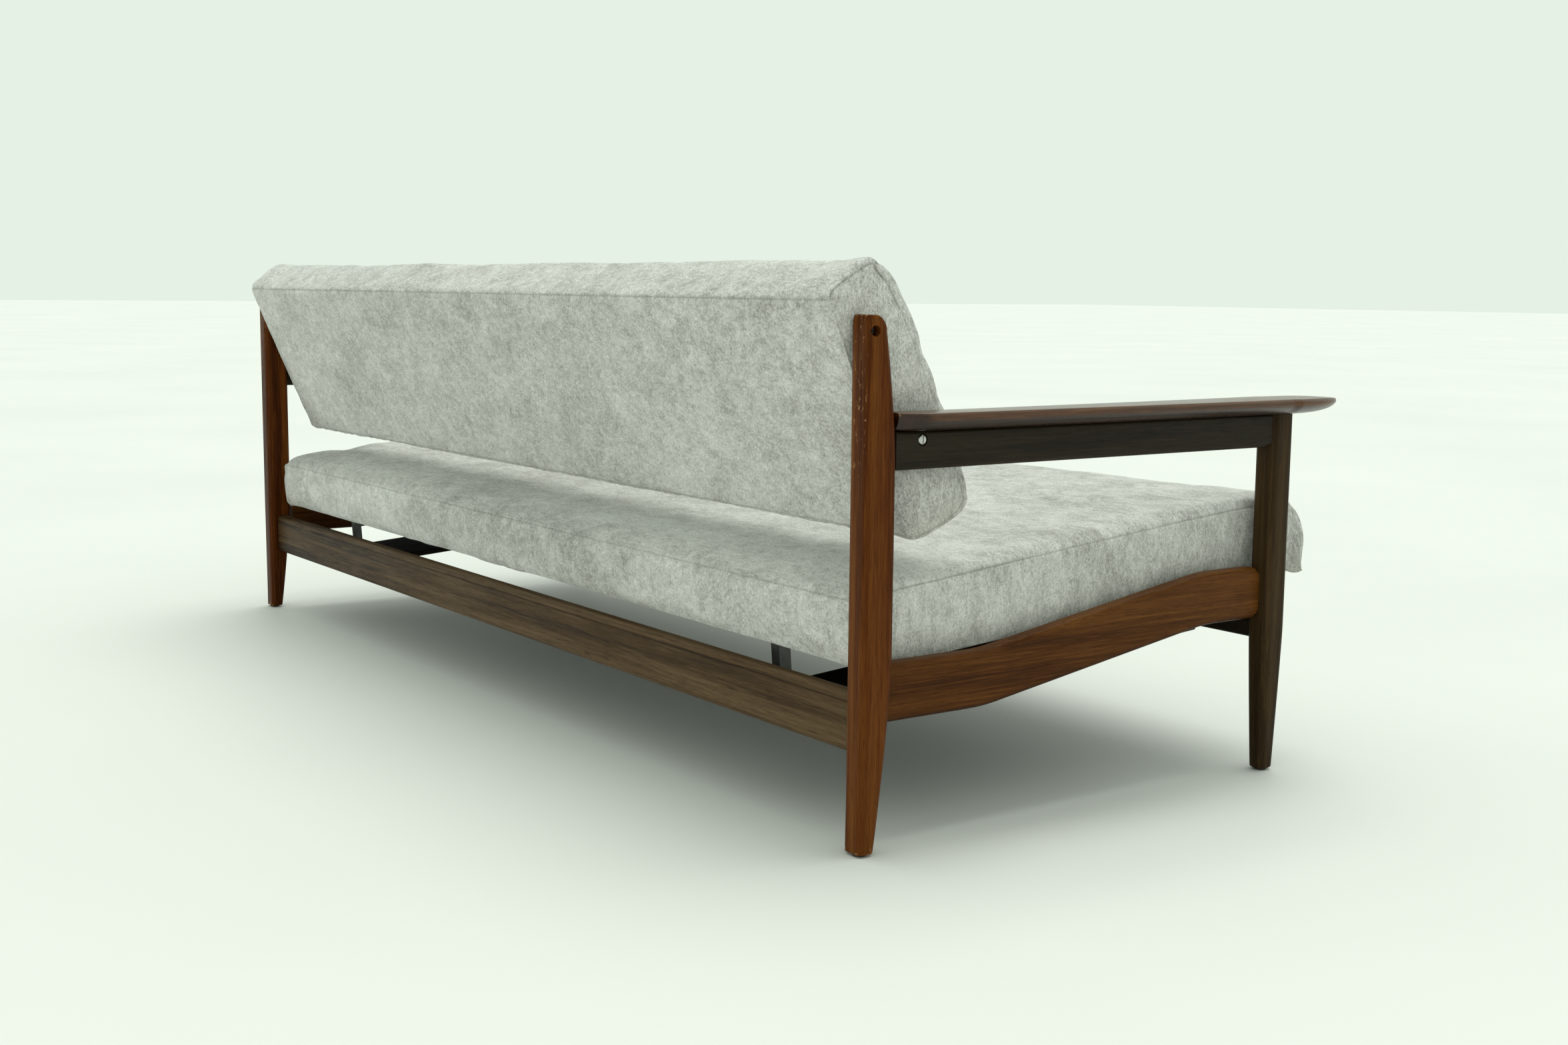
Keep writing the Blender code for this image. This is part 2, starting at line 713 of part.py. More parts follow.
def bush(side, pivot):
    """The plain sleeve in the stile that turns on the bolt."""
    start = BACK_FRAME_HALF - STILE_WIDTH
    length = STILE_WIDTH
    outer, inner = BUSH_RADIUS, PIVOT_RADIUS + 0.0004
    profile = ((inner, length), (outer, length), (outer, 0.0), (inner, 0.0), (inner, length))
    name = side_name("pivot_bush", side)
    mesh = bpy.data.meshes.new(name)
    bm = bmesh.new()
    verts = [bm.verts.new((radius, 0, height)) for radius, height in profile[:-1]]
    for i, vert in enumerate(verts):
        bm.edges.new((vert, verts[(i + 1) % len(verts)]))
    bm.to_mesh(mesh)
    bm.free()
    obj = add_object(name, mesh, ((0.55, 0.40, 0.16), 0.4, 1.0), pivot)
    obj.location = (side * start, 0, 0)
    obj.rotation_euler = (0, side * pi / 2, 0)
    screw = obj.modifiers.new("turn", "SCREW")
    screw.steps = 20
    screw.render_steps = 20
    screw.use_merge_vertices = True
    screw.merge_threshold = 0.00001


def stud_place():
    """Just in front of the peg on its circle about the pivot, in the frame of the back."""
    forward, below = PEG
    radius = (forward ** 2 + below ** 2) ** 0.5
    step = 2 * PEG_RADIUS + 2 * GAP
    return -forward - step * below / radius, -below + step * forward / radius


def stop_stud(side, pivot):
    """The steel stud in the stile. It stands out of the end of the back and rests on the peg."""
    name = side_name("stop_stud", side)
    start = BACK_FRAME_HALF - STUD_GRIP
    length = STUD_END - start
    profile = (
        (0.0, length), (PEG_RADIUS - 0.0008, length), (PEG_RADIUS, length - 0.0008),
        (PEG_RADIUS, 0.0), (0.0, 0.0),
    )
    y, z = stud_place()
    turned(name, profile, (STEEL, 0.35, 1.0), pivot, (side * start, y, z), (0, side * pi / 2, 0))


def back_pad(pivot):
    """The upholstered body of the back, open at the rear for its frame."""
    fabric = (FABRIC, 0.95, 0.0)

    def build(bm):
        rings = []
        soft = 0.022
        for k in range(4):
            turn = k / 3 * pi / 2
            ease = 0.006 * (1 - sin(turn))
            x = -BACK_HALF + 0.006 * (1 - cos(turn))
            rings.append(ring_at_x(x, back_outline(ease, soft)))
        rings += [ring_at_x(-ring[0].x, [(p.y, p.z) for p in ring]) for ring in reversed(rings)]
        loft(bm, rings)

    pad = add_object("back_pad", mesh_from("back_pad", build), fabric, pivot)
    clear = 0.0005

    def recess(bm):
        box(
            bm,
            (-BACK_FRAME_HALF - clear, BACK_FRAME_Y[0] - clear, BACK_FRAME_Z[0] - clear),
            (BACK_FRAME_HALF + clear, BACK_REAR + 0.02, BACK_FRAME_Z[1] + clear),
        )

    cut(pad, "back_pad_recess", recess)
    for side in (-1, 1):
        low, high = span(side, BACK_FRAME_HALF - 0.01, BACK_HALF + 0.02)
        name = side_name("back_pad", side)
        cut(pad, name + "_bore", lambda bm, a=low, b=high: rod(bm, a, b, 0, 0, BUSH_RADIUS))
        cut(pad, name + "_stud", lambda bm, a=low, b=high: rod(bm, a, b, *stud_place(), PEG_RADIUS + 0.001))


def back_outline(ease, soft):
    """The section of the back: square at the rear, rounded at the front."""
    low, high = BACK_FRONT + ease, BACK_REAR - ease * 0.3
    bottom, top = BACK_BOTTOM + ease, BACK_TOP - ease
    points = [(high, bottom + 0.004), (high, top - 0.004), (high - 0.004, top)]
    for k in range(5):
        angle = pi / 2 + k / 4 * pi / 2
        points.append((low + soft + soft * cos(angle), top - soft + soft * sin(angle)))
    for k in range(5):
        angle = pi + k / 4 * pi / 2
        points.append((low + soft + soft * cos(angle), bottom + soft + soft * sin(angle)))
    points.append((high - 0.004, bottom))
    return points


def back_panel(pivot):
    """The cloth-covered board that closes the rear of the back."""
    clear = 0.001
    half = BACK_FRAME_HALF - 0.0005
    y_low = BACK_FRAME_Y[1] + GAP
    low = (-half, y_low, BACK_FRAME_Z[0] + clear)
    high = (half, y_low + PANEL_THICK, BACK_FRAME_Z[1] - clear)
    bevelled_box("back_panel", low, high, (FABRIC, 0.95, 0.0), pivot, 0.0005)


def backrest():
    pivot = bpy.data.objects.new("back_pivot", None)
    parts.objects.link(pivot)
    pivot.location = (0, PIVOT_Y, PIVOT_Z)
    pivot.rotation_euler = (-BACK_LEAN, 0, 0)
    back_frame(pivot)
    back_pad(pivot)
    back_panel(pivot)


# Seat: made in its own frame, with the pad's lower rear edge at the origin and the front at -Y


def seat_frame(carriage):
    wood = (BEECH, 0.6, 0.0)
    outer = SEAT_HALF - SEAT_WALL
    rear = -SEAT_WALL
    front = -SEAT_DEPTH + 0.035
    inner = outer - SEAT_RAIL_THICK - GAP
    bottom, top = SEAT_FRAME_Z
    for name, y_low, y_high in (
        ("seat_frame_rear_rail", rear - SEAT_RAIL_THICK, rear),
        ("seat_frame_front_rail", front, front + SEAT_RAIL_THICK),
    ):
        bevelled_box(name, (-inner, y_low, bottom), (inner, y_high, top), wood, carriage)
    y_low = front + SEAT_RAIL_THICK + GAP
    y_high = rear - SEAT_RAIL_THICK - GAP
    bevelled_box("seat_frame_middle_rail", (-0.022, y_low, bottom), (0.022, y_high, top), wood, carriage)
    for side in (-1, 1):
        low, high = span(side, outer - SEAT_RAIL_THICK, outer)
        name = side_name("seat_frame_end_rail", side)
        bevelled_box(name, (low, front, bottom), (high, rear, top), wood, carriage)
        start = RUNNER_X + ANGLE_WIDTH / 2 + GAP
        low, high = span(side, start, start + SEAT_RAIL_THICK)
        name = side_name("seat_frame_cross_rail", side)
        bevelled_box(name, (low, y_low, bottom), (high, y_high, top), wood, carriage)


def seat_straps(carriage):
    """Rubber webbing over the frame, from the front rail to the rear rail."""
    front = -SEAT_DEPTH + 0.037
    rear = -SEAT_WALL - 0.002
    low = SEAT_FRAME_Z[1] + GAP
    for number, x in enumerate(STRAP_PLACES, 1):
        bevelled_box(
            f"seat_strap_{number}", (x - STRAP_WIDTH / 2, front, low),
            (x + STRAP_WIDTH / 2, rear, low + STRAP_THICK), (RUBBER, 0.8, 0.0), carriage, 0.0006,
        )


def seat_pad(carriage):
    """The mattress, hollow below for its frame, with a full rounded nose."""
    rear_top, front_top = SEAT_THICK

    def outline(ease):
        rear = -ease
        top = rear_top - ease
        points = [(rear - 0.010, 0.0), (rear, 0.010), (rear, top - 0.020)]
        for k in range(1, 4):
            angle = k / 3 * pi / 2
            points.append((rear - 0.020 + 0.020 * cos(angle), top - 0.020 + 0.020 * sin(angle)))
        nose = 0.044
        tip = -SEAT_DEPTH + ease
        middle = (front_top - ease) / 2
        for k in range(8):
            angle = pi / 2 + k / 7 * pi
            squeeze = 1.0 if k < 4 else 0.92
            points.append((tip + nose + nose * cos(angle) * squeeze, middle + middle * sin(angle)))
        return points

    def build(bm):
        rings = []
        for k in range(4):
            turn = k / 3 * pi / 2
            ease = 0.012 * (1 - sin(turn))
            x = -SEAT_HALF + 0.012 * (1 - cos(turn))
            rings.append(ring_at_x(x, [(y, max(z, 0.0)) for y, z in outline(ease)]))
        rings += [ring_at_x(-ring[0].x, [(p.y, p.z) for p in ring]) for ring in reversed(rings)]
        loft(bm, rings)

    pad = add_object("seat_pad", mesh_from("seat_pad", build), (FABRIC, 0.95, 0.0), carriage)
    clear = 0.001

    def recess(bm):
        half = SEAT_HALF - SEAT_WALL + clear
        top = SEAT_FRAME_Z[1] + STRAP_THICK + 2 * clear
        box(bm, (-half, -SEAT_DEPTH + 0.035 - clear, -0.02), (half, -SEAT_WALL + clear, top))

    cut(pad, "seat_pad_recess", recess)


def seat_dust_cover(carriage):
    """The cloth panel that closes the underside of the mattress, with holes for the runner angles."""
    half = SEAT_HALF - SEAT_WALL
    low = (-half, -SEAT_DEPTH + 0.035, GAP)
    high = (half, -SEAT_WALL, GAP + COVER_THICK)
    cover = bevelled_box("seat_dust_cover", low, high, (DARK_CLOTH, 0.9, 0.0), carriage, 0.0005)
    room = ANGLE_WIDTH / 2 + 0.0015
    for side in (-1, 1):
        for number, place in enumerate(RUNNER_PLACES, 1):
            x = side * RUNNER_X
            hole = ((x - room, -place - room, -0.01), (x + room, -place + room, 0.01))
            cut(cover, side_name(f"seat_dust_cover_hole_{number}", side), lambda bm, h=hole: box(bm, *h))


def runner(side, number, place, carriage):
    """A steel angle that stands under the seat frame, with a nylon pad that slides on the board.

    The rear pads run back to the rear rail, which stops the seat there.
    """
    name = side_name(f"runner_angle_{number}", side)
    x = side * RUNNER_X
    half = ANGLE_WIDTH / 2
    foot = -BOARD_DROP + PAD_THICK + 0.0004
    top = SEAT_FRAME_Z[1] - 0.004
    y = -place

    def build(bm):
        a, b = x + side * half, x - side * half
        inner = a - side * ANGLE_THICK
        corners = (
            (a, y - half), (a, y + half), (b, y + half), (b, y + half - ANGLE_THICK),
            (inner, y + half - ANGLE_THICK), (inner, y - half),
        )
        loft(bm, [[Vector((cx, cy, z)) for cx, cy in corners] for z in (foot + GAP, top)])

    add_object(name, mesh_from(name, build), (STEEL, 0.5, 1.0), carriage)
    heel = PAD_HEEL_Y if number == 1 else y + PAD_HEEL
    low = (x - PAD_HALF_WIDTH, y - PAD_TOE, foot - PAD_THICK + 0.0004)
    high = (x + PAD_HALF_WIDTH, heel, foot)
    bevelled_box(side_name(f"runner_pad_{number}", side), low, high, (NYLON, 0.4, 0.0), carriage, 0.0015)


def seat():
    carriage = bpy.data.objects.new("seat_carriage", None)
    parts.objects.link(carriage)
    carriage.location = (0, SEAT_Y, SEAT_Z)
    carriage.rotation_euler = (-SEAT_TILT, 0, 0)
    seat_frame(carriage)
    seat_straps(carriage)
    seat_pad(carriage)
    seat_dust_cover(carriage)
    for side in (-1, 1):
        for number, place in enumerate(RUNNER_PLACES, 1):
            runner(side, number, place, carriage)


clear_scene()
parts = new_collection("daybed")
cutters = new_collection("cutters", hidden=True)

rear_rail()
front_rail()
for end in (-1, 1):
    rear_post(end)
    front_leg(end)
    side_rail(end)
    arm_apron(end)
    armrest(end)
    track_board(end)
    board_screw(end, 0)
    board_screw(end, 1)
    arm_screw(end)
    stop_peg(end)
    pivot_bolt(end)
    rear_x = end * (HALF_LENGTH - POST_WIDTH / 2)
    foot_glide(side_name("rear_glide", end), rear_x, REAR_Y - post_depth(0.0) / 2)
    foot_glide(side_name("front_glide", end), end * (HALF_LENGTH - POST_WIDTH / 2 + 0.001), LEG_CENTRE_Y)
backrest()
seat()
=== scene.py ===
"""Looks of the daybed: timber end frames, tilting chenille back, mattress seat on track boards.

Metres, +Z up, the long side along X, the front towards -Y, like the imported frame.
"""

from math import cos, pi, radians, sin

import bmesh
import bpy
import numpy as np
from mathutils import Matrix, Vector
from mathutils.kdtree import KDTree


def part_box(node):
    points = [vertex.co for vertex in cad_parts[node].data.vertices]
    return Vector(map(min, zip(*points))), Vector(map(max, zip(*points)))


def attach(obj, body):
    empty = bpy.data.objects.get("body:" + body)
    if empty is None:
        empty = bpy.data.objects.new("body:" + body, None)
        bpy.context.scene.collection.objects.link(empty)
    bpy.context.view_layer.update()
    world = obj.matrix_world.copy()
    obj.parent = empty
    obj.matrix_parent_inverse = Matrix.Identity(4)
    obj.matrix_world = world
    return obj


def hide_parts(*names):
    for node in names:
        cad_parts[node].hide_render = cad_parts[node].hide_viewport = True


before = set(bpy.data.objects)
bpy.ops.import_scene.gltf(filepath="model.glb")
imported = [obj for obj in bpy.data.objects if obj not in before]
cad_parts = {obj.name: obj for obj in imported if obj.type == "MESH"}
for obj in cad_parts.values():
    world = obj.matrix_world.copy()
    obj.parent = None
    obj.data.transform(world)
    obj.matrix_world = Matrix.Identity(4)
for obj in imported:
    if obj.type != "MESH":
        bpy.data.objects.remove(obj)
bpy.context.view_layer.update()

# ---------------------------------------------------------------- sizes shared with the frame

HALF_LENGTH = 1.000
REAR_Y = 0.3986
POST_WIDTH = 0.035
POST_DEPTH = 0.045
POST_TOP = 0.630
POST_FOOT_TAPER = 0.0225
POST_TOP_TAPER = 0.018
LEG_FRONT_Y = REAR_Y - 0.737
LEG_DEPTH = 0.041
LEG_CENTRE_Y = LEG_FRONT_Y + LEG_DEPTH / 2
LEG_REAR_Y = LEG_FRONT_Y + LEG_DEPTH
LEG_TOP = 0.4967
FOOT_WIDTH = 0.025
FOOT_DEPTH = 0.027
FOOT_Z = 0.003
RAIL_THICK = 0.024
REAR_RAIL_Y = REAR_Y - 0.028
REAR_RAIL_Z = (0.115, 0.1880)
FRONT_RAIL_Z = (0.185, 0.2560)
SIDE_RAIL_OUTER = 0.9850
SIDE_RAIL_HEIGHT = 0.071
SIDE_RAIL_LOW = 0.1535
SIDE_RAIL_RISE = 0.0620
RAMP_REAR_Y = REAR_Y - 0.200
RAMP_FRONT_Y = REAR_Y - 0.592
APRON_OUTER = 0.996
APRON_THICK = 0.022
APRON_Z = (0.452, 0.4965)
ARM_Z = (0.4973, 0.5190)
ARM_INNER = 0.9715
ARM_OUTER = 1.020
ARM_BOW = 0.013
ARM_SPREAD = 0.016
ARM_CORNER_Y = REAR_Y - 0.076
ARM_NOSE_Y = REAR_Y - 0.700
ARM_TIP_Y = REAR_Y - 0.812
PIVOT = Vector((0.0, REAR_Y - 0.010, 0.612))
BACK_LEAN = radians(23.3)
BACK_HALF = 0.9610
SEAT_ORIGIN = Vector((0.0, REAR_Y - 0.028, 0.212))
SEAT_TILT = radians(4.6)
SEAT_HALF = 0.950
GAP = 0.0003

BACK_PLACE = Matrix.Translation(PIVOT) @ Matrix.Rotation(-BACK_LEAN, 4, "X")
SEAT_PLACE = Matrix.Translation(SEAT_ORIGIN) @ Matrix.Rotation(-SEAT_TILT, 4, "X")


# ---------------------------------------------------------------- materials

class Look:
    """A Principled material and short ways to add nodes to it."""

    def __init__(self, name, rough=0.5, metal=0.0):
        self.material = bpy.data.materials.new(name)
        self.material.use_nodes = True
        self.tree = self.material.node_tree
        self.shader = self.tree.nodes["Principled BSDF"]
        self.shader.inputs["Roughness"].default_value = rough
        self.shader.inputs["Metallic"].default_value = metal

    def add(self, kind, inputs=None, **settings):
        node = self.tree.nodes.new("ShaderNode" + kind)
        for key, value in settings.items():
            setattr(node, key, value)
        for key, value in (inputs or {}).items():
            self.feed(node.inputs[key], value)
        return node

    def feed(self, socket, value):
        if isinstance(value, bpy.types.NodeSocket):
            self.tree.links.new(value, socket)
        else:
            socket.default_value = value

    def set(self, key, value):
        self.feed(self.shader.inputs[key], value)

    def place(self, scale=(1, 1, 1), turn=(0, 0, 0), shift=(0, 0, 0)):
        where = self.add("TexCoord")
        mapping = self.add("Mapping", {"Vector": where.outputs["Object"]})
        mapping.inputs["Scale"].default_value = scale
        mapping.inputs["Rotation"].default_value = turn
        mapping.inputs["Location"].default_value = shift
        return mapping.outputs["Vector"]

    def noise(self, vector, scale, detail=3.0, rough=0.5, distortion=0.0):
        node = self.add("TexNoise", {
            "Vector": vector, "Scale": scale, "Detail": detail, "Roughness": rough,
            "Distortion": distortion,
        })
        return node.outputs["Fac"]

    def ramp(self, value, *stops):
        """Stops are (place, colour or grey)."""
        node = self.add("ValToRGB", {"Fac": value})
        elements = node.color_ramp.elements
        while len(elements) < len(stops):
            elements.new(0.5)
        for element, (at, tone) in zip(elements, stops):
            element.position = at
            element.color = (tone, tone, tone, 1) if isinstance(tone, (int, float)) else (*tone, 1)
        return node.outputs["Color"]

    def math(self, operation, a, b=0.0, clamp=False):
        node = self.add("Math", operation=operation, use_clamp=clamp)
        self.feed(node.inputs[0], a)
        self.feed(node.inputs[1], b)
        return node.outputs[0]

    def mix(self, factor, a, b, blend="MIX"):
        node = self.add("Mix", data_type="RGBA", blend_type=blend)
        for key, value in ((0, factor), (6, a), (7, b)):
            if isinstance(value, tuple):
                value = (*value, 1.0)
            self.feed(node.inputs[key], value)
        return node.outputs[2]

    def bump(self, height, strength, distance, normal=None):
        node = self.add("Bump", {"Height": height, "Strength": strength, "Distance": distance})
        if normal is not None:
            self.feed(node.inputs["Normal"], normal)
        return node.outputs["Normal"]


AXIS = {"X": 0, "Y": 1, "Z": 2}


def wood(name, grain, dark, mid, light, seed, rough=0.42, figure=1.0, coat=0.0, wear_and_highlight=0.0, shine=0.07):
    """Oiled timber: growth bands, soft streaks and short pores that run along one axis."""
    look = Look(name, rough)
    along = AXIS[grain]

    def stretched(across, length):
        scale = [across] * 3
        scale[along] = length
        return look.place(tuple(scale), shift=(seed, seed * 0.7, seed * 1.3))

    bands = look.noise(stretched(26.0, 0.9), 1.0, 3.0, 0.55, 1.1)
    streaks = look.noise(stretched(120.0, 2.6), 1.0, 4.0, 0.62, 0.3)
    broad = look.noise(stretched(7.0, 0.8), 1.0, 2.0)
    pores = look.noise(stretched(1500.0, 34.0), 1.0, 2.0, 0.7)
    flecks = look.noise(stretched(420.0, 12.0), 1.0, 3.0, 0.6)

    band_share, streak_share, broad_share = 0.55 * figure, 0.30, 0.32
    banded = look.math("MULTIPLY", bands, band_share)
    tone = look.math("ADD", banded, look.math("MULTIPLY", streaks, streak_share))
    tone = look.math("ADD", tone, look.math("MULTIPLY", broad, broad_share))
    middle = 0.5 * (band_share + streak_share + broad_share)
    colour = look.ramp(tone, (middle - 0.13, dark), (middle - 0.015, mid), (middle + 0.12, light))
    colour = look.mix(look.ramp(pores, (0.36, 0.55), (0.47, 0.0)), colour, tuple(c * 0.42 for c in dark))
    pale = tuple(min(1, c * 1.5) for c in light)
    colour = look.mix(look.ramp(flecks, (0.50, 0.0), (0.72, 0.35)), colour, pale)

    smear = look.noise(look.place((9, 9, 9), shift=(seed, 0, seed)), 1.0, 3.0)
    roughness = look.math("ADD", look.math("MULTIPLY", smear, 0.16), rough - 0.08)
    open_pores = look.ramp(pores, (0.36, 1.0), (0.5, 0.0))
    roughness = look.math("ADD", roughness, look.math("MULTIPLY", open_pores, 0.14))
    # Painted shade: the wood is darkened where the under value is set, on downward faces, low edges and in
    # a groove line.
    under = look.add("Attribute", attribute_name="under").outputs["Fac"]
    colour = look.mix(under, colour, (0.30, 0.25, 0.22), "MULTIPLY")
    # A lighter scraped tone on edges: real wear, and along the arm's outer rim also a painted highlight.
    if wear_and_highlight:
        mask = look.add("Attribute", attribute_name="wear_and_highlight").outputs["Fac"]
        nicks = look.noise(look.place((210, 210, 75), shift=(seed, seed, 0)), 1.0, 4.0, 0.7)
        scraped_and_highlit = look.math("ADD", look.math("MULTIPLY", mask, wear_and_highlight), nicks)
        scraped_and_highlit = look.ramp(scraped_and_highlit, (0.962, 0.0), (1.03, 0.75))
        colour = look.mix(scraped_and_highlit, colour, (0.36, 0.19, 0.085))
        roughness = look.math("ADD", roughness, look.math("MULTIPLY", scraped_and_highlit, 0.25), clamp=True)
    look.set("Base Color", colour)
    look.set("Roughness", roughness)
    height = look.math("ADD", look.math("MULTIPLY", pores, 0.7), look.math("MULTIPLY", streaks, 0.3))
    look.set("Normal", look.bump(height, 0.35, 0.0006))
    look.set("Coat Weight", coat)
    look.set("Coat Roughness", 0.24)
    look.set("Specular IOR Level", shine)
    return look.material


PILE_TONES = (0.395, 0.468, 0.522, 0.610)
PILE_SHADES = ((0.290, 0.280, 0.260), (0.490, 0.480, 0.455), (0.640, 0.632, 0.602), (0.850, 0.846, 0.818))


def chenille(name, place, turn, nap=1.0):
    """Cut chenille: a fine broken pile, soft crush marks and wide sweeps of nap."""
    look = Look(name, 0.88)

    def local(scale, shift=0.0):
        return look.place(scale, turn=turn, shift=(shift + place[0], place[1], place[2]))

    layers = (
        (look.noise(local((2.2, 3.6, 3.6)), 1.0, 3.0, 0.55, 0.9), 0.42 * nap),
        (look.noise(local((17.0, 30.0, 17.0), 3.0), 1.0, 5.0, 0.68, 0.9), 0.50 * nap),
        (look.noise(local((70.0, 190.0, 80.0), 7.0), 1.0, 3.0, 0.66, 0.5), 0.55),
        (look.noise(local((300.0, 420.0, 340.0), 1.0), 1.0, 3.0, 0.72, 0.6), 1.05),
    )
    crush, pile = layers[1][0], layers[3][0]
    fibre = look.noise(local((900.0, 1500.0, 1200.0), 2.0), 1.0, 2.0, 0.6)
    whole = sum(share for _, share in layers)
    tone = 0.0
    for value, share in layers:
        tone = look.math("ADD", look.math("MULTIPLY", value, share / whole), tone)
    colour = look.ramp(tone, *zip(PILE_TONES, PILE_SHADES))
    between_fibres = look.ramp(fibre, (0.28, 0.50), (0.45, 0.0))
    colour = look.mix(between_fibres, colour, tuple(0.6 * c for c in PILE_SHADES[0]))
    stain = look.noise(local((3.0, 3.0, 9.0), 11.0), 1.0, 3.0)
    stained = look.math("MULTIPLY", look.add("Attribute", attribute_name="stain").outputs["Fac"],
                        look.ramp(stain, (0.35, 0.25), (0.7, 1.0)))
    colour = look.mix(stained, colour, (0.40, 0.37, 0.26), "MULTIPLY")
    # Painted shade: the cloth is darkened along the seam lines, in the grooves the seams sink.
    seam = look.add("Attribute", attribute_name="seam").outputs["Fac"]
    colour = look.mix(look.math("MULTIPLY", seam, 0.42), colour, (0.16, 0.15, 0.13))
    look.set("Base Color", colour)
    rough = look.ramp(crush, (0.3, 0.95), (0.7, 0.78))
    look.set("Roughness", rough)
    look.set("Sheen Weight", 0.35)
    look.set("Sheen Roughness", 0.45)
    look.set("Sheen Tint", (0.95, 0.96, 0.94, 1.0))
    look.set("Specular IOR Level", 0.25)
    height = look.math("ADD", look.math("MULTIPLY", pile, 0.75), look.math("MULTIPLY", fibre, 0.25))
    rough_normal = look.bump(crush, 0.10, 0.004)
    look.set("Normal", look.bump(height, 0.70, 0.0026, rough_normal))
    return look.material


def metal(name, colour, rough):
    """Bare steel or brass: fine scratches along it and patches of grime."""
    scratch, grime = 0.12, 0.35
    look = Look(name, rough, 1.0)
    fine = look.noise(look.place((260, 260, 60)), 1.0, 4.0, 0.7)
    dirt = look.noise(look.place((70, 70, 70), shift=(3, 1, 0)), 1.0, 3.0)
    tone = look.mix(look.math("MULTIPLY", look.ramp(dirt, (0.45, 0.0), (0.72, 1.0)), grime),
                    colour, tuple(c * 0.35 for c in colour))
    look.set("Base Color", tone)
    look.set("Roughness", look.math("ADD", look.math("MULTIPLY", fine, scratch * 2), rough - scratch))
    look.set("Normal", look.bump(fine, 0.15, 0.0002))
    return look.material


def plain_mottled(name, colour, rough, grain, depth):
    """Rubber, nylon and cloth: a fine speckle with slightly uneven colour."""
    vary = 0.18
    look = Look(name, rough)
    fine = look.noise(look.place((grain,) * 3), 1.0, 3.0, 0.6)
    patch = look.noise(look.place((18, 18, 18), shift=(5, 2, 1)), 1.0, 3.0)
    mixed = look.math("ADD", look.math("MULTIPLY", fine, 0.5), look.math("MULTIPLY", patch, 0.5))
    low = tuple(c * (1 - vary) for c in colour)
    high = tuple(min(1.0, c * (1 + vary)) for c in colour)
    look.set("Base Color", look.ramp(mixed, (0.35, low), (0.65, high)))
    look.set("Roughness", look.math("ADD", look.math("MULTIPLY", fine, 0.12), rough - 0.06))
    look.set("Normal", look.bump(fine, 0.3, depth))
    return look.material


TEAK = ((0.040, 0.0075, 0.0008), (0.098, 0.0240, 0.0018), (0.165, 0.0540, 0.0080))
RED_TEAK = ((0.036, 0.0100, 0.0016), (0.082, 0.0260, 0.0040), (0.140, 0.0520, 0.0105))
GREY_TEAK = ((0.022, 0.0120, 0.0058), (0.068, 0.0370, 0.0150), (0.130, 0.0800, 0.0400))
SHADE_TEAK = ((0.014, 0.0075, 0.0028), (0.034, 0.0185, 0.0066), (0.062, 0.0345, 0.0130))
APRON_TEAK = ((0.008, 0.0055, 0.0030), (0.0165, 0.0112, 0.0058), (0.027, 0.0180, 0.0095))
BLACK_TEAK = ((0.005, 0.0036, 0.0022), (0.012, 0.0085, 0.0052), (0.021, 0.0145, 0.0090))
BEECH = ((0.30, 0.19, 0.10), (0.46, 0.31, 0.17), (0.58, 0.42, 0.26))

back_cloth = chenille("back_chenille", (0.3, 0.1, 0.0), (BACK_LEAN, 0, radians(8)))
seat_cloth = chenille("seat_chenille", (1.7, 0.4, 0.2), (SEAT_TILT, 0, radians(-6)), nap=1.35)
bright_steel = metal("screw_steel", (0.50, 0.49, 0.47), 0.30)
dark_steel = metal("angle_steel", (0.16, 0.16, 0.155), 0.45)
bolt_steel = metal("bolt_steel", (0.22, 0.21, 0.20), 0.40)
brass = metal("bush_brass", (0.55, 0.38, 0.14), 0.35)
nylon = plain_mottled("runner_nylon", (0.60, 0.57, 0.50), 0.45, 500.0, 0.0003)
rubber = plain_mottled("glide_rubber", (0.022, 0.021, 0.020), 0.75, 700.0, 0.0004)
webbing = plain_mottled("strap_rubber", (0.045, 0.042, 0.040), 0.85, 380.0, 0.0008)
bottom_cloth = plain_mottled("bottom_cloth", (0.020, 0.020, 0.021), 0.95, 1100.0, 0.0007)
beech = {axis: wood("beech_" + axis.lower(), axis, *BEECH, seed=4.0 + AXIS[axis], rough=0.6)
         for axis in "XYZ"}


# ---------------------------------------------------------------- mesh helpers

def add_piece(name, mesh, material, body, replaced, sharp=40.0):
    """Puts a finished mesh on its body, in place of the CAD nodes it stands for."""
    obj = bpy.data.objects.new(name, mesh)
    bpy.context.scene.collection.objects.link(obj)
    mesh.materials.clear()
    mesh.materials.append(material)
    mesh.shade_smooth()
    mesh.set_sharp_from_angle(angle=radians(sharp))
    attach(obj, body)
    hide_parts(*replaced)
    return obj


def mesh_from(name, build):
    mesh = bpy.data.meshes.new(name)
    bm = bmesh.new()
    build(bm)
    bmesh.ops.recalc_face_normals(bm, faces=bm.faces)
    bm.to_mesh(mesh)
    bm.free()
    return mesh


def loft(bm, rings):
    """A closed skin through rings of equally many points, each end closed by a fan."""
    rows = [[bm.verts.new(point) for point in ring] for ring in rings]
    count = len(rows[0])
    for near, far in zip(rows, rows[1:]):
        for i in range(count):
            j = (i + 1) % count
            bm.faces.new((near[i], near[j], far[j], far[i]))
    for row in (rows[0], rows[-1]):
        centre = bm.verts.new(sum((v.co for v in row), Vector()) / count)
        for i in range(count):
            bm.faces.new((row[i], row[(i + 1) % count], centre))


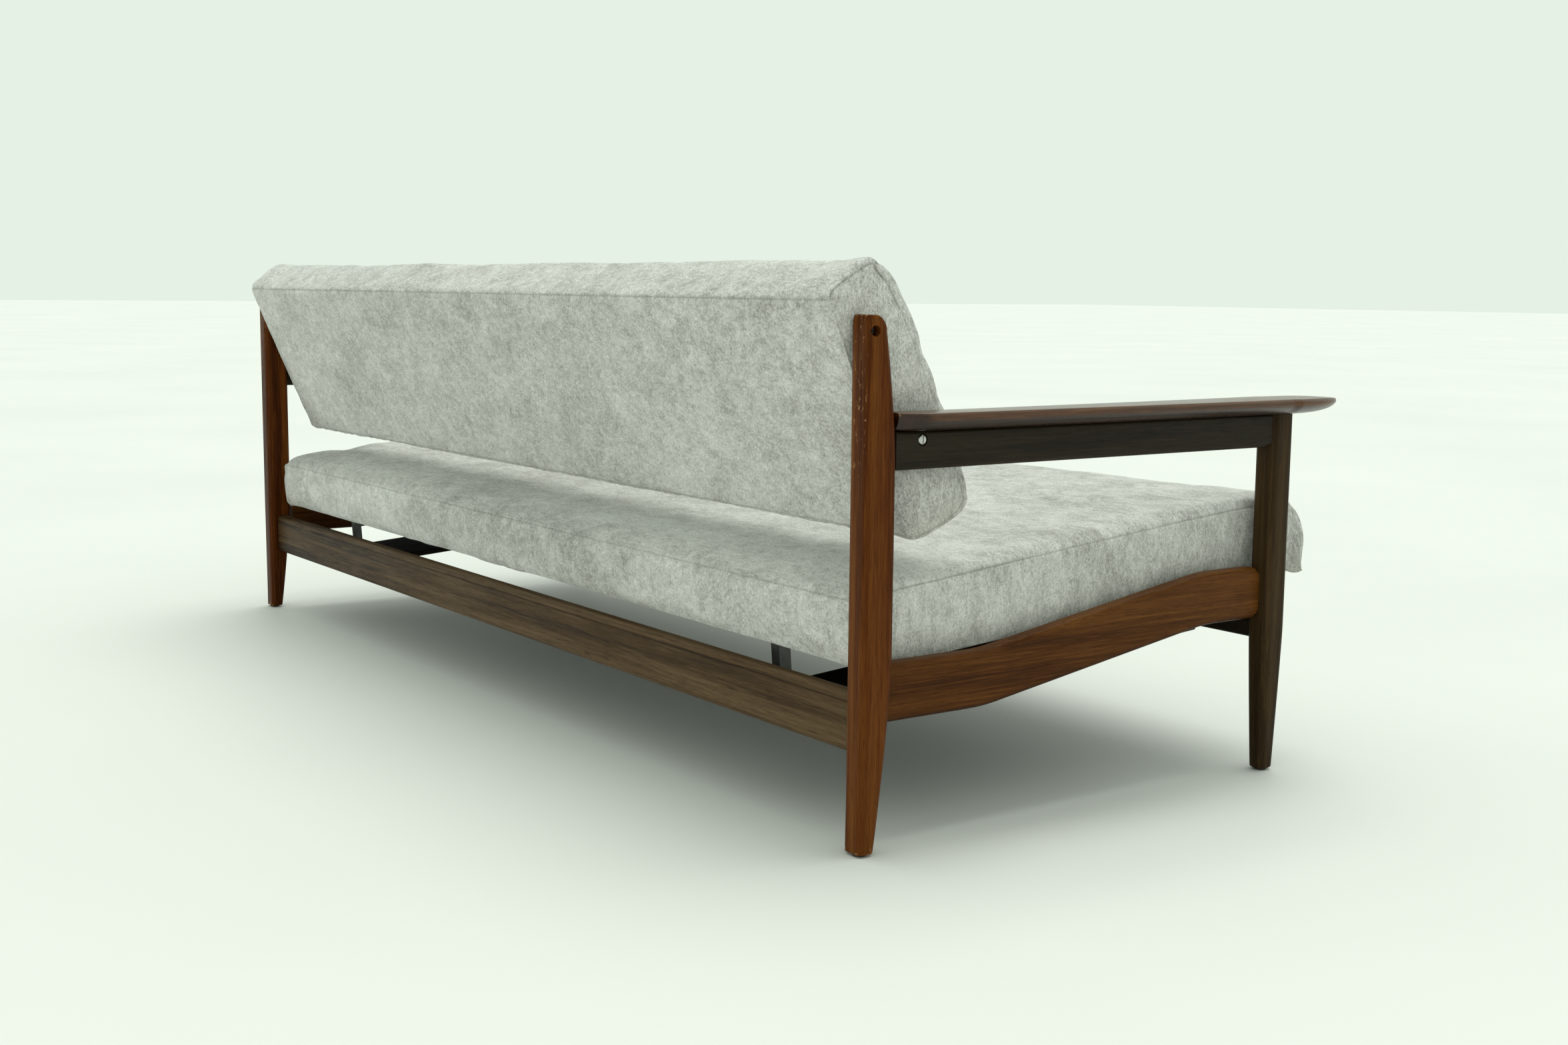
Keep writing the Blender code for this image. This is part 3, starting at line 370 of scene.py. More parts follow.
def rounded(low_a, high_a, low_b, high_b, radius, steps=7, runs=3):
    """A rounded rectangle as (a, b) pairs, with extra points along its straight sides."""
    corners = ((high_a, high_b, 0), (low_a, high_b, 1), (low_a, low_b, 2), (high_a, low_b, 3))
    points = []
    for a, b, quarter in corners:
        centre_a = a - radius if a == high_a else a + radius
        centre_b = b - radius if b == high_b else b + radius
        arc = []
        for k in range(steps + 1):
            angle = (quarter + k / steps) * pi / 2
            arc.append((centre_a + radius * cos(angle), centre_b + radius * sin(angle)))
        if points:
            points += between(points[-1], arc[0], runs)
        points += arc
    points += between(points[-1], points[0], runs)
    return points


def between(a, b, runs):
    return [tuple(p + (q - p) * k / (runs + 1) for p, q in zip(a, b)) for k in range(1, runs + 1)]


def ring_at_z(z, outline):
    return [Vector((a, b, z)) for a, b in outline]


def ring_at_y(y, outline):
    return [Vector((a, y, b)) for a, b in outline]


def ring_at_x(x, outline):
    return [Vector((x, a, b)) for a, b in outline]


def side_name(name, side):
    return name + ("_left" if side < 0 else "_right")


def span(side, a, b):
    return (side * a, side * b) if side > 0 else (side * b, side * a)


def smooth(t):
    t = min(1.0, max(0.0, t))
    return t * t * (3 - 2 * t)


def set_point_values(mesh, name, values):
    attribute = mesh.attributes.get(name) or mesh.attributes.new(name, "FLOAT", "POINT")
    attribute.data.foreach_set("value", np.asarray(values, np.float32))


# ---------------------------------------------------------------- timber

def post_depth(z):
    taper = 0.0
    if z < 0.25:
        taper = POST_FOOT_TAPER * (1 - z / 0.25) ** 1.6
    if z > 0.46:
        taper = POST_TOP_TAPER * ((z - 0.46) / (POST_TOP - 0.46)) ** 1.5
    return POST_DEPTH - taper


def soft_ramp(t, soft=0.06):
    if t <= -soft:
        return 0.0
    if t < soft:
        return (t + soft) ** 2 / (4 * soft)
    if t <= 1 - soft:
        return t
    return 1.0 - soft_ramp(1 - t, soft)


def side_rail_bottom(y):
    return SIDE_RAIL_LOW + SIDE_RAIL_RISE * soft_ramp((RAMP_REAR_Y - y) / (RAMP_REAR_Y - RAMP_FRONT_Y))


def rear_post(side):
    name = side_name("rear_post", side)
    inner = HALF_LENGTH - POST_WIDTH
    cap = 0.612

    def build(bm):
        rings = []
        for k in range(4):
            turn = k / 3 * pi / 2
            ease = 0.0016 * (1 - sin(turn))
            z = FOOT_Z + 0.0016 * (1 - cos(turn))
            low, high = span(side, inner + ease, HALF_LENGTH - 0.003 - ease)
            outline = rounded(low, high, REAR_Y - post_depth(z) + ease, REAR_Y - ease, 0.0066)
            rings.append(ring_at_z(z, outline))
        heights = [0.010 + (cap - 0.010) * k / 72 for k in range(73)]
        for z in heights:
            low, high = span(side, inner, HALF_LENGTH - 0.003 * max(0.0, 1 - z / 0.2))
            radius = 0.0068 + 0.0012 * smooth(z / 0.08)
            rings.append(ring_at_z(z, rounded(low, high, REAR_Y - post_depth(z), REAR_Y, radius)))
        for k in range(1, 10):
            turn = k / 9 * pi / 2
            shrink = 0.012 * (1 - cos(turn))
            low, high = span(side, inner + shrink * 0.15, HALF_LENGTH - shrink * 0.15)
            z = cap + (POST_TOP - cap) * sin(turn)
            front = REAR_Y - post_depth(z) + shrink
            rings.append(ring_at_z(z, rounded(low, high, front, REAR_Y - shrink * 0.2, 0.0066)))
        loft(bm, rings)

    mesh = mesh_from(name + "_timber", build)
    bore(mesh, side, PIVOT.y, PIVOT.z, 0.0063, HALF_LENGTH - 0.016)
    material = wood(name + "_teak", "Z", *TEAK, seed=2.3 + side, rough=0.34, wear_and_highlight=1.0, figure=0.9)
    add_piece(name + "_timber", mesh, material, "frame", [name], sharp=50)
    values = []
    for v in mesh.vertices:
        rear_edge = 1 - smooth((REAR_Y - v.co.y) / 0.011)
        foot = 1 - smooth((v.co.z - 0.004) / 0.020)
        crown = smooth((v.co.z - (POST_TOP - 0.006)) / 0.006)
        upper = smooth((v.co.z - 0.36) / 0.10)
        values.append(min(1.0, max(0.37 * rear_edge * (0.35 + 0.65 * upper), 0.42 * foot, 0.44 * crown)))
    set_point_values(mesh, "wear_and_highlight", values)


def bore(mesh, side, y, z, radius, floor_x):
    """Sinks a round hole into a post, from its outer face."""
    holder = bpy.data.objects.new("bored", mesh)
    helper = bpy.data.objects.new("bore", bpy.data.meshes.new("bore"))
    for obj in (holder, helper):
        bpy.context.scene.collection.objects.link(obj)
    bm = bmesh.new()
    length = HALF_LENGTH + 0.01 - floor_x
    place = Matrix.Translation((side * (floor_x + length / 2), y, z)) @ Matrix.Rotation(pi / 2, 4, "Y")
    bmesh.ops.create_cone(
        bm, cap_ends=True, segments=40, radius1=radius, radius2=radius, depth=length, matrix=place,
    )
    bm.to_mesh(helper.data)
    bm.free()
    cutter = holder.modifiers.new("bore", "BOOLEAN")
    cutter.operation = "DIFFERENCE"
    cutter.solver = "EXACT"
    cutter.object = helper
    graph = bpy.context.evaluated_depsgraph_get()
    made = bpy.data.meshes.new_from_object(holder.evaluated_get(graph))
    bm = bmesh.new()
    bm.from_mesh(made)
    mesh.clear_geometry()
    bm.to_mesh(mesh)
    bm.free()
    bpy.data.objects.remove(holder)
    bpy.data.objects.remove(helper)


def front_leg(side):
    name = side_name("front_leg", side)
    middle = HALF_LENGTH - POST_WIDTH / 2 + 0.001

    def build(bm):
        rings = []
        steps = 64
        top = LEG_TOP
        heights = [FOOT_Z + (top - FOOT_Z) * k / steps for k in range(steps + 1)]
        for k, z in enumerate(heights):
            taper = max(0.0, 1 - z / 0.20) ** 1.15
            ease = (0.0014, 0.0)[min(k, 1)]
            width = POST_WIDTH + (FOOT_WIDTH - POST_WIDTH) * taper - 2 * ease
            depth = LEG_DEPTH + (FOOT_DEPTH - LEG_DEPTH) * taper - 2 * ease
            x = middle - 0.001 * (1 - taper)
            low, high = span(side, x - width / 2, x + width / 2)
            y = LEG_CENTRE_Y
            rings.append(ring_at_z(z, rounded(low, high, y - depth / 2, y + depth / 2, 0.0098)))
            if k == 0:
                z2 = z + 0.0015
                width, depth = width + 2 * ease, depth + 2 * ease
                low, high = span(side, x - width / 2, x + width / 2)
                rings.append(ring_at_z(z2, rounded(low, high, y - depth / 2, y + depth / 2, 0.0098)))
        loft(bm, rings)

    mesh = mesh_from(name + "_timber", build)
    material = wood(name + "_teak", "Z", *SHADE_TEAK, seed=6.1 + side, rough=0.36, wear_and_highlight=1.0)
    add_piece(name + "_timber", mesh, material, "frame", [name], sharp=50)
    set_point_values(mesh, "wear_and_highlight", [0.40 * (1 - smooth((v.co.z - 0.004) / 0.018)) for v in mesh.vertices])


def side_rail(side):
    name = side_name("side_rail", side)
    rear = REAR_Y - POST_DEPTH - GAP
    front = LEG_REAR_Y + GAP
    low, high = span(side, SIDE_RAIL_OUTER - RAIL_THICK, SIDE_RAIL_OUTER)
    steps = 96

    def build(bm):
        rings = []
        for k in range(steps + 1):
            y = rear + (front - rear) * k / steps
            z = side_rail_bottom(y)
            near_leg = max(0.0, 1 - (y - front) / 0.010)
            ease = 0.0055 * (1 - (1 - near_leg ** 2) ** 0.5) if near_leg > 0 else 0.0
            outline = rounded(low, high, z + ease, z + SIDE_RAIL_HEIGHT - ease, 0.0072, runs=5)
            rings.append(ring_at_y(y, outline))
        loft(bm, rings)

    mesh = mesh_from(name + "_timber", build)
    material = wood(name + "_teak", "Y", *RED_TEAK, seed=8.4 + side, rough=0.38, figure=0.8)
    add_piece(name + "_timber", mesh, material, "frame", [name], sharp=50)
    # Painted shade along the rail's rounded bottom edge.
    set_point_values(mesh, "under", [
        0.9 * (1 - smooth((v.co.z - side_rail_bottom(v.co.y)) / 0.009)) for v in mesh.vertices
    ])


def arm_apron(side):
    name = side_name("arm_apron", side)
    rear = REAR_Y - POST_DEPTH - GAP
    front = LEG_REAR_Y + GAP
    low, high = span(side, APRON_OUTER - APRON_THICK, APRON_OUTER)

    def build(bm):
        rings = []
        for k in range(49):
            y = rear + (front - rear) * k / 48
            near_leg = max(0.0, 1 - (y - front) / 0.006)
            ease = 0.0035 * (1 - (1 - near_leg ** 2) ** 0.5)
            outline = rounded(low, high, APRON_Z[0] + ease, APRON_Z[1], 0.0042, runs=4)
            rings.append(ring_at_y(y, outline))
        loft(bm, rings)

    mesh = mesh_from(name + "_timber", build)
    peg_low, peg_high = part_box(side_name("stop_peg", side))
    centre = (peg_low + peg_high) / 2
    bore(mesh, side, centre.y, centre.z, 0.0074, APRON_OUTER - 0.0042)
    material = wood(name + "_teak", "Y", *APRON_TEAK, seed=10.2 + side, rough=0.45, shine=0.12)
    add_piece(name + "_timber", mesh, material, "frame", [name], sharp=50)


def arm_edges(y):
    """The arm's inner and outer distance from the middle, at a place along it."""
    along = min(1.0, max(0.0, (ARM_CORNER_Y - y) / (ARM_CORNER_Y - ARM_NOSE_Y)))
    outer = ARM_OUTER + ARM_BOW * sin(along * pi / 2)
    inner = ARM_INNER - ARM_SPREAD * along ** 2
    if y > ARM_CORNER_Y:
        back = (y - ARM_CORNER_Y) / (REAR_Y - POST_DEPTH - ARM_CORNER_Y)
        outer -= (ARM_OUTER - HALF_LENGTH + 0.001) * back
    if y < ARM_NOSE_Y:
        past = (ARM_NOSE_Y - y) / (ARM_NOSE_Y - ARM_TIP_Y)
        centre = (inner + outer) / 2 + 0.003
        half = (outer - inner) / 2 * max(0.0, 1 - past ** 2.6) ** 0.5
        inner, outer = centre - half, centre + half
    return inner, outer


def catmull(points, per_side):
    """A closed smooth curve through points, with per_side points from each to the next."""
    made = []
    count = len(points)
    for i in range(count):
        p0, p1, p2, p3 = (np.array(points[(i + k) % count], float) for k in (-1, 0, 1, 2))
        for k in range(per_side):
            t = k / per_side
            made.append(tuple(0.5 * (
                2 * p1 + (p2 - p0) * t + (2 * p0 - 5 * p1 + 4 * p2 - p3) * t ** 2
                + (3 * p1 - p0 - 3 * p2 + p3) * t ** 3
            )))
    return made


def armrest(side):
    name = side_name("armrest", side)
    bottom, top = ARM_Z
    height = top - bottom
    rear = REAR_Y - POST_DEPTH - GAP
    places = [rear + (ARM_CORNER_Y - rear) * k / 8 for k in range(8)]
    places += [ARM_CORNER_Y + (ARM_NOSE_Y - ARM_CORNER_Y) * k / 70 for k in range(70)]
    places += [ARM_NOSE_Y + (ARM_TIP_Y - ARM_NOSE_Y) * sin(k / 34 * pi / 2) for k in range(34)]
    places.append(ARM_TIP_Y + 0.00012)
    section = catmull((
        (0.06, 0.02), (0.30, 0.0), (0.64, 0.0), (0.80, 0.10), (0.90, 0.28), (0.972, 0.48),
        (1.0, 0.64), (0.997, 0.78), (0.967, 0.91), (0.90, 0.980), (0.5, 1.0), (0.10, 0.985),
        (0.03, 0.91), (0.0, 0.74), (0.0, 0.28), (0.02, 0.10),
    ), 4)

    def build(bm):
        rings = []
        for y in places:
            inner, outer = arm_edges(y)
            past = max(0.0, (ARM_NOSE_Y - y) / (ARM_NOSE_Y - ARM_TIP_Y))
            lift = 0.45 * past ** 3
            drop = 0.12 * past ** 4
            rings.append([
                Vector((
                    side * (inner + (outer - inner) * across), y,
                    bottom + height * (lift + (1 - lift - drop) * min(1.0, max(0.0, up))),
                ))
                for across, up in section
            ])
        loft(bm, rings)

    mesh = mesh_from(name + "_timber", build)
    material = wood(
        name + "_teak", "Y", *RED_TEAK,
        seed=12.9 + side, rough=0.27, coat=0.35, figure=0.9, wear_and_highlight=1.0, shine=0.25,
    )
    add_piece(name + "_timber", mesh, material, "frame", [name], sharp=42)
    # Painted shade darkens the arm's lower faces and its rear scoop, where the end grain is darker as well.
    values, under = [], []
    for v in mesh.vertices:
        inner, outer = arm_edges(v.co.y)
        up = (v.co.z - bottom) / height
        scoop = smooth((v.co.y - ARM_CORNER_Y + 0.003) / 0.006) * smooth((0.97 - up) / 0.08)
        under.append(max(smooth((0.60 - up) / 0.13), scoop * smooth((abs(v.co.x) - inner - 0.008) / 0.01)))
        # Along the outer rim a lighter tone stands for wear and for a painted highlight.
        edge = smooth((abs(v.co.x) - outer + 0.010) / 0.008) * smooth((v.co.z - bottom - 0.010) / 0.008)
        values.append(0.30 * edge * smooth((v.co.y - REAR_Y + 0.30) / 0.2))
    set_point_values(mesh, "wear_and_highlight", values)
    set_point_values(mesh, "under", under)


def cross_rail(name, centre_y, z_range, material, radius, lip):
    """A rail along X between the end frames. A lip is a rounded top bead over a fine quirk."""
    inner = HALF_LENGTH - POST_WIDTH - GAP
    low_z, high_z = z_range
    low_y, high_y = centre_y - RAIL_THICK / 2, centre_y + RAIL_THICK / 2

    def build(bm):
        outline = rounded(low_y, high_y, low_z, high_z, radius, steps=9, runs=7)
        if lip:
            quirk = high_z - 0.0112
            face = [i for i, (y, z) in enumerate(outline) if abs(y - high_y) < 1e-6 and z < quirk - 0.0012]
            at = face[0] if outline[face[0]][1] > outline[face[-1]][1] else face[-1] + 1
            groove = [(high_y, quirk - 0.0011), (high_y - 0.0008, quirk), (high_y, quirk + 0.0011)]
            outline[at:at] = groove[::-1] if outline[face[0]][1] > outline[face[-1]][1] else groove
        runs = 60
        loft(bm, [ring_at_x(-inner + 2 * inner * k / runs, outline) for k in range(runs + 1)])

    mesh = mesh_from(name + "_timber", build)
    add_piece(name + "_timber", mesh, material, "frame", [name], sharp=38)
    # Painted shade: a dark line in the quirk below the lip.
    if lip:
        set_point_values(mesh, "under", [
            0.9 * max(0.0, 1 - abs(v.co.z - high_z + 0.0112) / 0.0014) if v.co.y > high_y - 0.002 else 0.0
            for v in mesh.vertices
        ])


for end in (-1, 1):
    rear_post(end)
    front_leg(end)
    side_rail(end)
    arm_apron(end)
    armrest(end)
cross_rail(
    "rear_rail", REAR_RAIL_Y, REAR_RAIL_Z,
    wood("rear_rail_teak", "X", *GREY_TEAK, seed=15.5, rough=0.40, figure=1.15), 0.008, True,
)
cross_rail(
    "front_rail", LEG_CENTRE_Y, FRONT_RAIL_Z,
    wood("front_rail_teak", "X", *BLACK_TEAK, seed=17.2, rough=0.48), 0.004, False,
)


# ---------------------------------------------------------------- cushions

CLUSTER = (0.0022, 0.0060, 0.0120)
FULLNESS = 3.2
PUFF_FRAMES = 20
PUFF_PRESSURE = 3.0
PUFF_SLACK = 0.035
PUFF_LIMIT = 0.0052
SETTLE = 0.0010
SEAM_DEPTH = 0.0013
SEAM_WIDTH = 0.0017
RIDGE_HEIGHT = 0.0008
RIDGE_WIDTH = 0.0016


def dense_curve(points):
    """Many points and their running lengths along an open smooth curve."""
    points = [np.array(p, float) for p in points]
    padded = [2 * points[0] - points[1], *points, 2 * points[-1] - points[-2]]
    dense = []
    for i in range(1, len(padded) - 2):
        p0, p1, p2, p3 = padded[i - 1:i + 3]
        t0 = 0.0
        t1 = t0 + np.linalg.norm(p1 - p0) ** 0.5
        t2 = t1 + np.linalg.norm(p2 - p1) ** 0.5
        t3 = t2 + np.linalg.norm(p3 - p2) ** 0.5
        for t in np.linspace(t1, t2, 24, endpoint=False):
            a1 = (t1 - t) / (t1 - t0) * p0 + (t - t0) / (t1 - t0) * p1
            a2 = (t2 - t) / (t2 - t1) * p1 + (t - t1) / (t2 - t1) * p2
            a3 = (t3 - t) / (t3 - t2) * p2 + (t - t2) / (t3 - t2) * p3
            b1 = (t2 - t) / (t2 - t0) * a1 + (t - t0) / (t2 - t0) * a2
            b2 = (t3 - t) / (t3 - t1) * a2 + (t - t1) / (t3 - t1) * a3
            dense.append((t2 - t) / (t2 - t1) * b1 + (t - t1) / (t2 - t1) * b2)
    dense = np.array([*dense, points[-1]])
    lengths = np.concatenate([[0], np.cumsum(np.linalg.norm(np.diff(dense, axis=0), axis=1))])
    return dense, lengths


def side_points(points, middle_steps):
    """One side of a section: closer together beside its two corners, even in between."""
    dense, lengths = dense_curve(points)
    whole = lengths[-1]
    start, stop = CLUSTER[-1], whole - CLUSTER[-1]
    places = [0, *CLUSTER[:-1], *np.linspace(start, stop, middle_steps + 1)]
    places += [whole - c for c in reversed(CLUSTER[:-1])] + [whole]
    return np.stack([np.interp(places, lengths, dense[:, k]) for k in range(2)], axis=1)


class Cushion:
    """A closed upholstered cover: a section carried along X, drawn in at each end to an end panel.

    The section goes up the rear, forward over the top, down the front and back along the bottom,
    as (depth, height). Each end is closed by a grid that follows the section's four sides.
    """

    def __init__(self, half, sides, steps, draw, reach, belly):
        tall, deep, long = steps
        self.half, self.reach = half, reach
        rear, top, front, bottom = (
            side_points(points, count) for points, count in zip(sides, (tall, deep, tall, deep))
        )
        self.k, self.m = len(rear) - 1, len(top) - 1
        self.section = np.concatenate([rear[:-1], top[:-1], front[:-1], bottom[:-1]])
        self.n = len(self.section)
        self.corners = (0, self.k, self.k + self.m, 2 * self.k + self.m)
        arcs = 7
        turned_in = [half - reach * (1 - cos(a / arcs * pi / 2)) for a in range(arcs)]
        inner = half - reach
        self.xs = [-x for x in turned_in] + list(np.linspace(-inner, inner, long)) + turned_in[::-1]
        self.belly = belly
        self.inset = self.insets(draw)
        self.verts, self.faces = [], []
        for x in self.xs:
            self.verts += [(x, d, h) for d, h in self.ring(x)]
        self.body_count = len(self.verts)
        for i in range(len(self.xs) - 1):
            for j in range(self.n):
                j2 = (j + 1) % self.n
                a, b = i * self.n, (i + 1) * self.n
                self.faces.append((a + j, a + j2, b + j2, b + j))
        self.cap(0, -1)
        self.cap(len(self.xs) - 1, 1)
        self.verts = np.array(self.verts)

    def insets(self, draw):
        """How far, as a vector, each section point moves in where the cover meets its end panel."""
        run = np.roll(self.section, -1, axis=0) - np.roll(self.section, 1, axis=0)
        normal = np.stack([run[:, 1], -run[:, 0]], axis=1)
        normal /= np.linalg.norm(normal, axis=1)[:, None]
        stops = [*self.corners, self.n]
        depth = np.zeros(self.n)
        for i in range(self.n):
            side = self.side_of(i)
            t = (i - stops[side]) / (stops[side + 1] - stops[side])
            a, b = draw[side]
            depth[i] = a + (b - a) * smooth(t)
        return normal * depth[:, None]

    def side_of(self, j):
        return max(s for s in range(4) if self.corners[s] <= j % self.n)

    def ring(self, x):
        near = min(1.0, max(0.0, (abs(x) - (self.half - self.reach)) / self.reach))
        return self.section + self.inset * (1 - (1 - near ** FULLNESS) ** (1 / FULLNESS))

    def cap(self, row, way):
        n, m, k = self.n, self.m, self.k
        start = row * n
        grid = [[None] * (k + 1) for _ in range(m + 1)]
        for j in range(k + 1):
            grid[0][j] = start + j
            grid[m][k - j] = start + k + m + j
        for i in range(m + 1):
            grid[i][k] = start + k + i
            grid[m - i][0] = start + (2 * k + m + i) % n
        at = {index: np.array(self.verts[index]) for line in grid for index in line if index is not None}
        run_v = self.along([at[grid[0][j]] for j in range(k + 1)])
        run_u = self.along([at[grid[i][k]] for i in range(m + 1)])
        for i in range(1, m):
            for j in range(1, k):
                u, v = run_u[i], run_v[j]
                p = ((1 - u) * at[grid[0][j]] + u * at[grid[m][j]]
                     + (1 - v) * at[grid[i][0]] + v * at[grid[i][k]]
                     - (1 - u) * (1 - v) * at[grid[0][0]] - u * (1 - v) * at[grid[m][0]]
                     - (1 - u) * v * at[grid[0][k]] - u * v * at[grid[m][k]])
                p[0] += way * self.belly * (16 * u * (1 - u) * v * (1 - v)) ** 0.5
                grid[i][j] = len(self.verts)
                self.verts.append(tuple(p))
        for i in range(m):
            for j in range(k):
                quad = (grid[i][j], grid[i + 1][j], grid[i + 1][j + 1], grid[i][j + 1])
                self.faces.append(quad if way < 0 else quad[::-1])

    @staticmethod
    def along(points):
        """How far along a line of points each one is, from 0 to 1."""
        steps = np.linalg.norm(np.diff(np.array(points), axis=0), axis=1)
        return np.concatenate([[0], np.cumsum(steps)]) / steps.sum()

    def seam_marks(self, lines, end_sides):
        """1 at the vertices on the long seams at these corners and on these sides of the end panels."""
        marks = np.zeros(len(self.verts))
        for corner in lines:
            marks[self.corners[corner]:self.body_count:self.n] = 1
        stops = [*self.corners, self.n]
        for row in (0, len(self.xs) - 1):
            for side in end_sides:
                for j in range(stops[side], stops[side + 1] + 1):
                    marks[row * self.n + j % self.n] = 1
        return marks

    def give(self, by_side, end):
        """How freely each vertex may move in the cloth simulation."""
        values = np.full(len(self.verts), float(end))
        stops = [*self.corners, self.n]
        ring = np.array([
            by_side[s] * (1 - b) + 0.5 * (by_side[s] + by_side[(s + step) % 4]) * b
            for s, b, step in (self.blend_at(j, stops) for j in range(self.n))
        ])
        values[:self.body_count] = np.tile(ring, len(self.xs))
        return values

    def blend_at(self, j, stops):
        side = self.side_of(j)
        t = (j - stops[side]) / (stops[side + 1] - stops[side])
        return side, max(0.0, abs(t - 0.5) - 0.3) / 0.2, 1 if t > 0.5 else -1


def as_mesh(name, verts, faces):
    mesh = bpy.data.meshes.new(name)
    mesh.from_pydata([tuple(v) for v in verts], [], faces)
    bm = bmesh.new()
    bm.from_mesh(mesh)
    bmesh.ops.recalc_face_normals(bm, faces=bm.faces)
    bm.to_mesh(mesh)
    bm.free()
    return mesh


def coords(mesh):
    flat = np.empty(len(mesh.vertices) * 3, np.float32)
    mesh.vertices.foreach_get("co", flat)
    return flat.reshape(-1, 3).astype(float)


def normals(mesh):
    flat = np.empty(len(mesh.vertices) * 3, np.float32)
    mesh.vertices.foreach_get("normal", flat)
    return flat.reshape(-1, 3).astype(float)


def puff(mesh, held):
    """Where the vertices go when the cover is inflated as cloth that is held along its seams."""
    obj = bpy.data.objects.new("puffed", mesh)
    bpy.context.scene.collection.objects.link(obj)
    group = obj.vertex_groups.new(name="held")
    for value in sorted(set(held)):
        if value > 0:
            group.add([i for i, v in enumerate(held) if v == value], float(value), "REPLACE")
    cloth = obj.modifiers.new("cloth", "CLOTH")
    settings = cloth.settings
    settings.quality = 5
    settings.mass = 0.4
    settings.tension_stiffness = 15
    settings.compression_stiffness = 15
    settings.shear_stiffness = 5
    settings.bending_stiffness = 0.8
    settings.tension_damping = 10
    settings.compression_damping = 10
    settings.shear_damping = 8
    settings.air_damping = 5
    settings.use_pressure = True
    settings.uniform_pressure_force = PUFF_PRESSURE
    settings.shrink_min = -PUFF_SLACK
    settings.vertex_group_mass = "held"
    settings.effector_weights.gravity = 0
    cloth.point_cache.frame_start = 1
    cloth.point_cache.frame_end = PUFF_FRAMES
    scene = bpy.context.scene
    for number in range(1, PUFF_FRAMES + 1):
        scene.frame_set(number)
    graph = bpy.context.evaluated_depsgraph_get()
    ready = obj.evaluated_get(graph)
    after = coords(ready.to_mesh())
    ready.to_mesh_clear()
    bpy.data.objects.remove(obj)
    scene.frame_set(1)
    return after


def field(points, seed, size):
    """Smooth repeatable noise, mostly in -1 to 1, made of a few waves."""
    rng = np.random.default_rng(seed)
    total = np.zeros(len(points))
    for _ in range(10):
        direction = rng.normal(size=3)
        direction /= np.linalg.norm(direction)
        total += np.sin(points @ direction * 2 * pi / size * rng.uniform(0.6, 1.7) + rng.uniform(0, 2 * pi))
    return total / 4.5


def distance_to(points, marks):
    tree = KDTree(int(marks.sum()) or 1)
    for i, index in enumerate(np.nonzero(marks)[0]):
        tree.insert(points[index], i)
    tree.balance()
    return np.array([tree.find(p)[2] for p in points])


